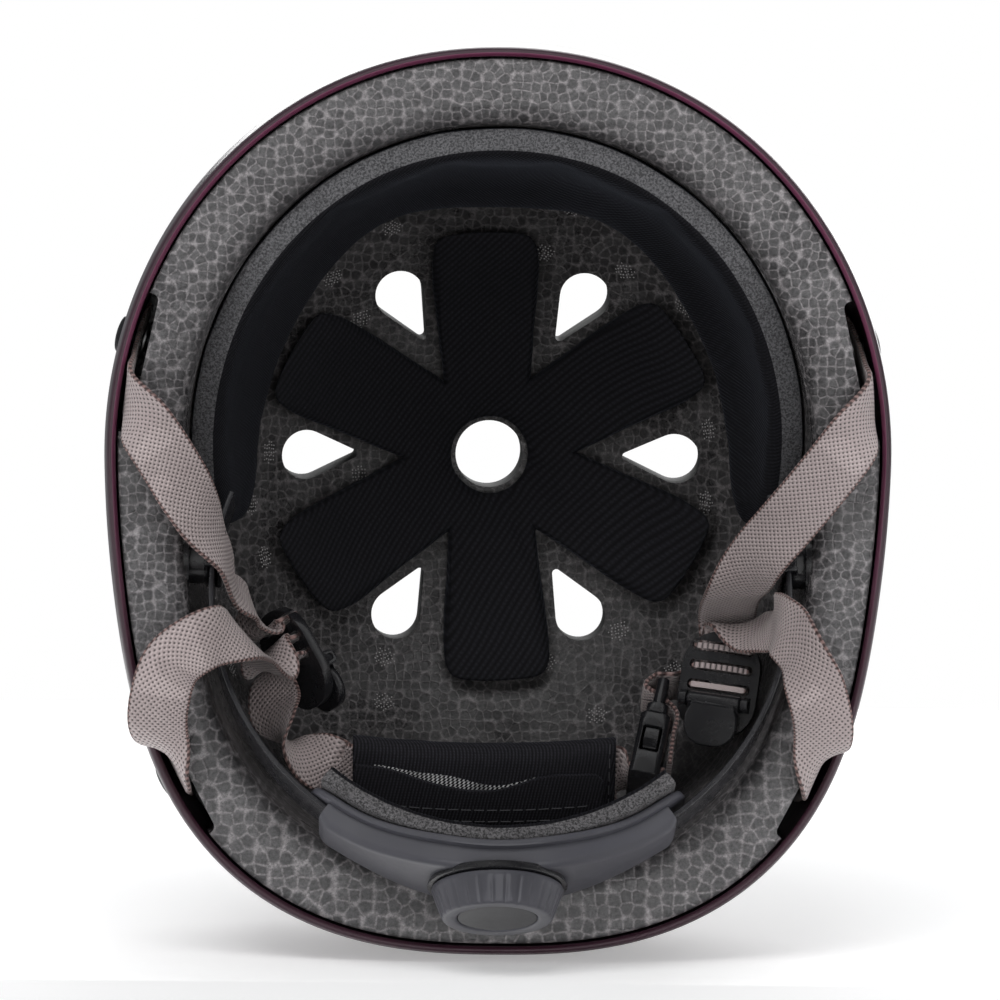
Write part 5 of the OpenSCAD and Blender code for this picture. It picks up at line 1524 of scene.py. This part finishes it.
def pin_tree():
    tree, given, result = node_tree("steam_vent_pins", [
        ("Cluster Radius", "Float"), ("Pin Spacing", "Float"), ("Pin Radius", "Float"),
        ("Seed", "Int"), ("Material", "Material")])
    size = times(tree, given["Pin Spacing"], PINS_ACROSS - 1.0)
    grid = add(tree, "GeometryNodeMeshGrid", {
        "Size X": size, "Size Y": size, "Vertices X": PINS_ACROSS, "Vertices Y": PINS_ACROSS})
    shift = add(tree, "FunctionNodeRandomValue", {
        "Min": (-0.0002, -0.0002, 0), "Max": (0.0002, 0.0002, 0), "Seed": given["Seed"]},
        data_type="FLOAT_VECTOR")
    moved = add(tree, "GeometryNodeSetPosition", {
        "Geometry": grid.outputs[0], "Offset": shift.outputs[0]})
    place = add(tree, "GeometryNodeInputPosition")
    reach = add(tree, "ShaderNodeVectorMath", {0: place.outputs[0]}, operation="LENGTH")
    far = add(tree, "FunctionNodeCompare", {
        "A": reach.outputs["Value"], "B": given["Cluster Radius"]}, data_type="FLOAT",
        operation="GREATER_THAN")
    disc = add(tree, "GeometryNodeDeleteGeometry", {
        "Geometry": moved.outputs[0], "Selection": far.outputs[0]}, domain="POINT")
    pin = add(tree, "GeometryNodeMeshIcoSphere", {"Radius": given["Pin Radius"], "Subdivisions": 1})
    pins = add(tree, "GeometryNodeInstanceOnPoints", {
        "Points": disc.outputs[0], "Instance": pin.outputs[0]})
    out = add(tree, "GeometryNodeInputNamedAttribute", {"Name": "out"}, data_type="FLOAT_VECTOR")
    turn = add(tree, "FunctionNodeAlignRotationToVector", {"Vector": out.outputs[0]}, axis="Z")
    clusters = add(tree, "GeometryNodeInstanceOnPoints", {
        "Points": given["Geometry"], "Instance": pins.outputs[0], "Rotation": turn.outputs[0]})
    close_tree(tree, clusters.outputs[0], given["Material"], result)
    return tree


print("pins across a cluster", PINS_ACROSS)

# %% Steam vent pins
PIN_SPOTS = [(-156, 71), (-138, 68), (-118, 69), (-136, 54), (163, 74), (166, 60), (145, 65),
             (129, 69), (111, 71), (98, 62), (95, 72), (79, 62), (82, 73), (-91, 63), (-79, 69),
             (-66, 70), (-65, 86), (-80, 38), (37, 62), (-27, 65), (-23, 76), (23, 79), (41, 79),
             (16, 61), (-36, 82), (-52, 92)]
# Painted highlight: the foam's pins are painted pale grey.
PIN_HIGHLIGHT_FINISH = plastic_finish("foam_pins_highlight", (0.24, 0.235, 0.235), (0.36, 0.35, 0.35), 0.25)
spots, outs = [], []
for a, r in PIN_SPOTS:
    share = min(r / plan_r(a, CAVITY_INSET), 0.985)
    spot = ceiling_point(a, share, 0)
    around = ceiling_point(a + 0.5, share, 0) - ceiling_point(a - 0.5, share, 0)
    outward = ceiling_point(a, share + 0.005, 0) - ceiling_point(a, share - 0.005, 0)
    normal = around.cross(outward).normalized()
    inward = Vector((0, CROWN_Y, 40)) - spot
    spots.append(spot * MM)
    outs.append(normal if normal.dot(inward) > 0 else -normal)
spot_mesh = bpy.data.meshes.new("pin_spots")
spot_mesh.from_pydata(spots, [], [])
layer = spot_mesh.attributes.new("out", "FLOAT_VECTOR", "POINT")
for item, direction in zip(layer.data, outs):
    item.vector = direction
pin_mesh = grown_mesh("steam_vent_pins", spot_mesh, pin_tree(), {
    "Cluster Radius": 0.0031, "Pin Spacing": 0.001, "Pin Radius": 0.00028, "Seed": 5,
    "Material": PIN_HIGHLIGHT_FINISH})
piece("steam_vent_pins", pin_mesh, [PIN_HIGHLIGHT_FINISH], "helmet")
print("pins", len(PIN_SPOTS), "clusters,", len(pin_mesh.polygons), "faces")

# %% Stitches
def stitch_tree():
    tree, given, result = node_tree("stitches", [
        ("Stitch Pitch", "Float"), ("Stitch Length", "Float"), ("Thread Radius", "Float"),
        ("Seed", "Int"), ("Material", "Material")])
    line = add(tree, "GeometryNodeMeshToCurve", {"Mesh": given["Geometry"]})
    places = add(tree, "GeometryNodeResampleCurve", {
        "Curve": line.outputs[0], "Length": given["Stitch Pitch"]}, mode="LENGTH")
    thread = add(tree, "GeometryNodeMeshCylinder", {
        "Vertices": 6, "Radius": given["Thread Radius"], "Depth": given["Stitch Length"]})
    tangent = add(tree, "GeometryNodeInputTangent")
    lean = add(tree, "FunctionNodeRandomValue", {
        "Min": (-0.05,) * 3, "Max": (0.05,) * 3, "Seed": given["Seed"]}, data_type="FLOAT_VECTOR")
    aim = add(tree, "ShaderNodeVectorMath", {0: tangent.outputs[0], 1: lean.outputs[0]},
              operation="ADD")
    turn = add(tree, "FunctionNodeAlignRotationToVector", {"Vector": aim.outputs[0]}, axis="Z")
    laid = add(tree, "GeometryNodeInstanceOnPoints", {
        "Points": places.outputs[0], "Instance": thread.outputs[0], "Rotation": turn.outputs[0]})
    close_tree(tree, laid.outputs[0], given["Material"], result)
    return tree


THREAD = plastic_finish("sewing_thread", (0.035, 0.035, 0.04), (0.06, 0.06, 0.068), 0.5)
OVER_FLAP = FLAP_LIFT + FLAP_T + 0.08
seams = [[pad_spot(-33 + reach * k / 60, u, OVER_FLAP) for k in range(61)]
         for reach, u in ((64, 10.2), (60, 6.6))]
seams.append([pad_spot(34.2, -8.6 + 20 * k / 24, 0.15) for k in range(25)])
seam_points, seam_edges = [], []
for line in seams:
    seam_edges += [(len(seam_points) + k, len(seam_points) + k + 1) for k in range(len(line) - 1)]
    seam_points += [point * MM for point in line]
seam_mesh = bpy.data.meshes.new("seams")
seam_mesh.from_pydata(seam_points, seam_edges, [])
stitch_mesh = grown_mesh("stitches", seam_mesh, stitch_tree(), {
    "Stitch Pitch": 0.0034, "Stitch Length": 0.0027, "Thread Radius": 0.00014, "Seed": 3,
    "Material": THREAD})
piece("chin_pad_stitches", stitch_mesh, [THREAD], "helmet")
print("stitches", len(stitch_mesh.polygons), "faces")
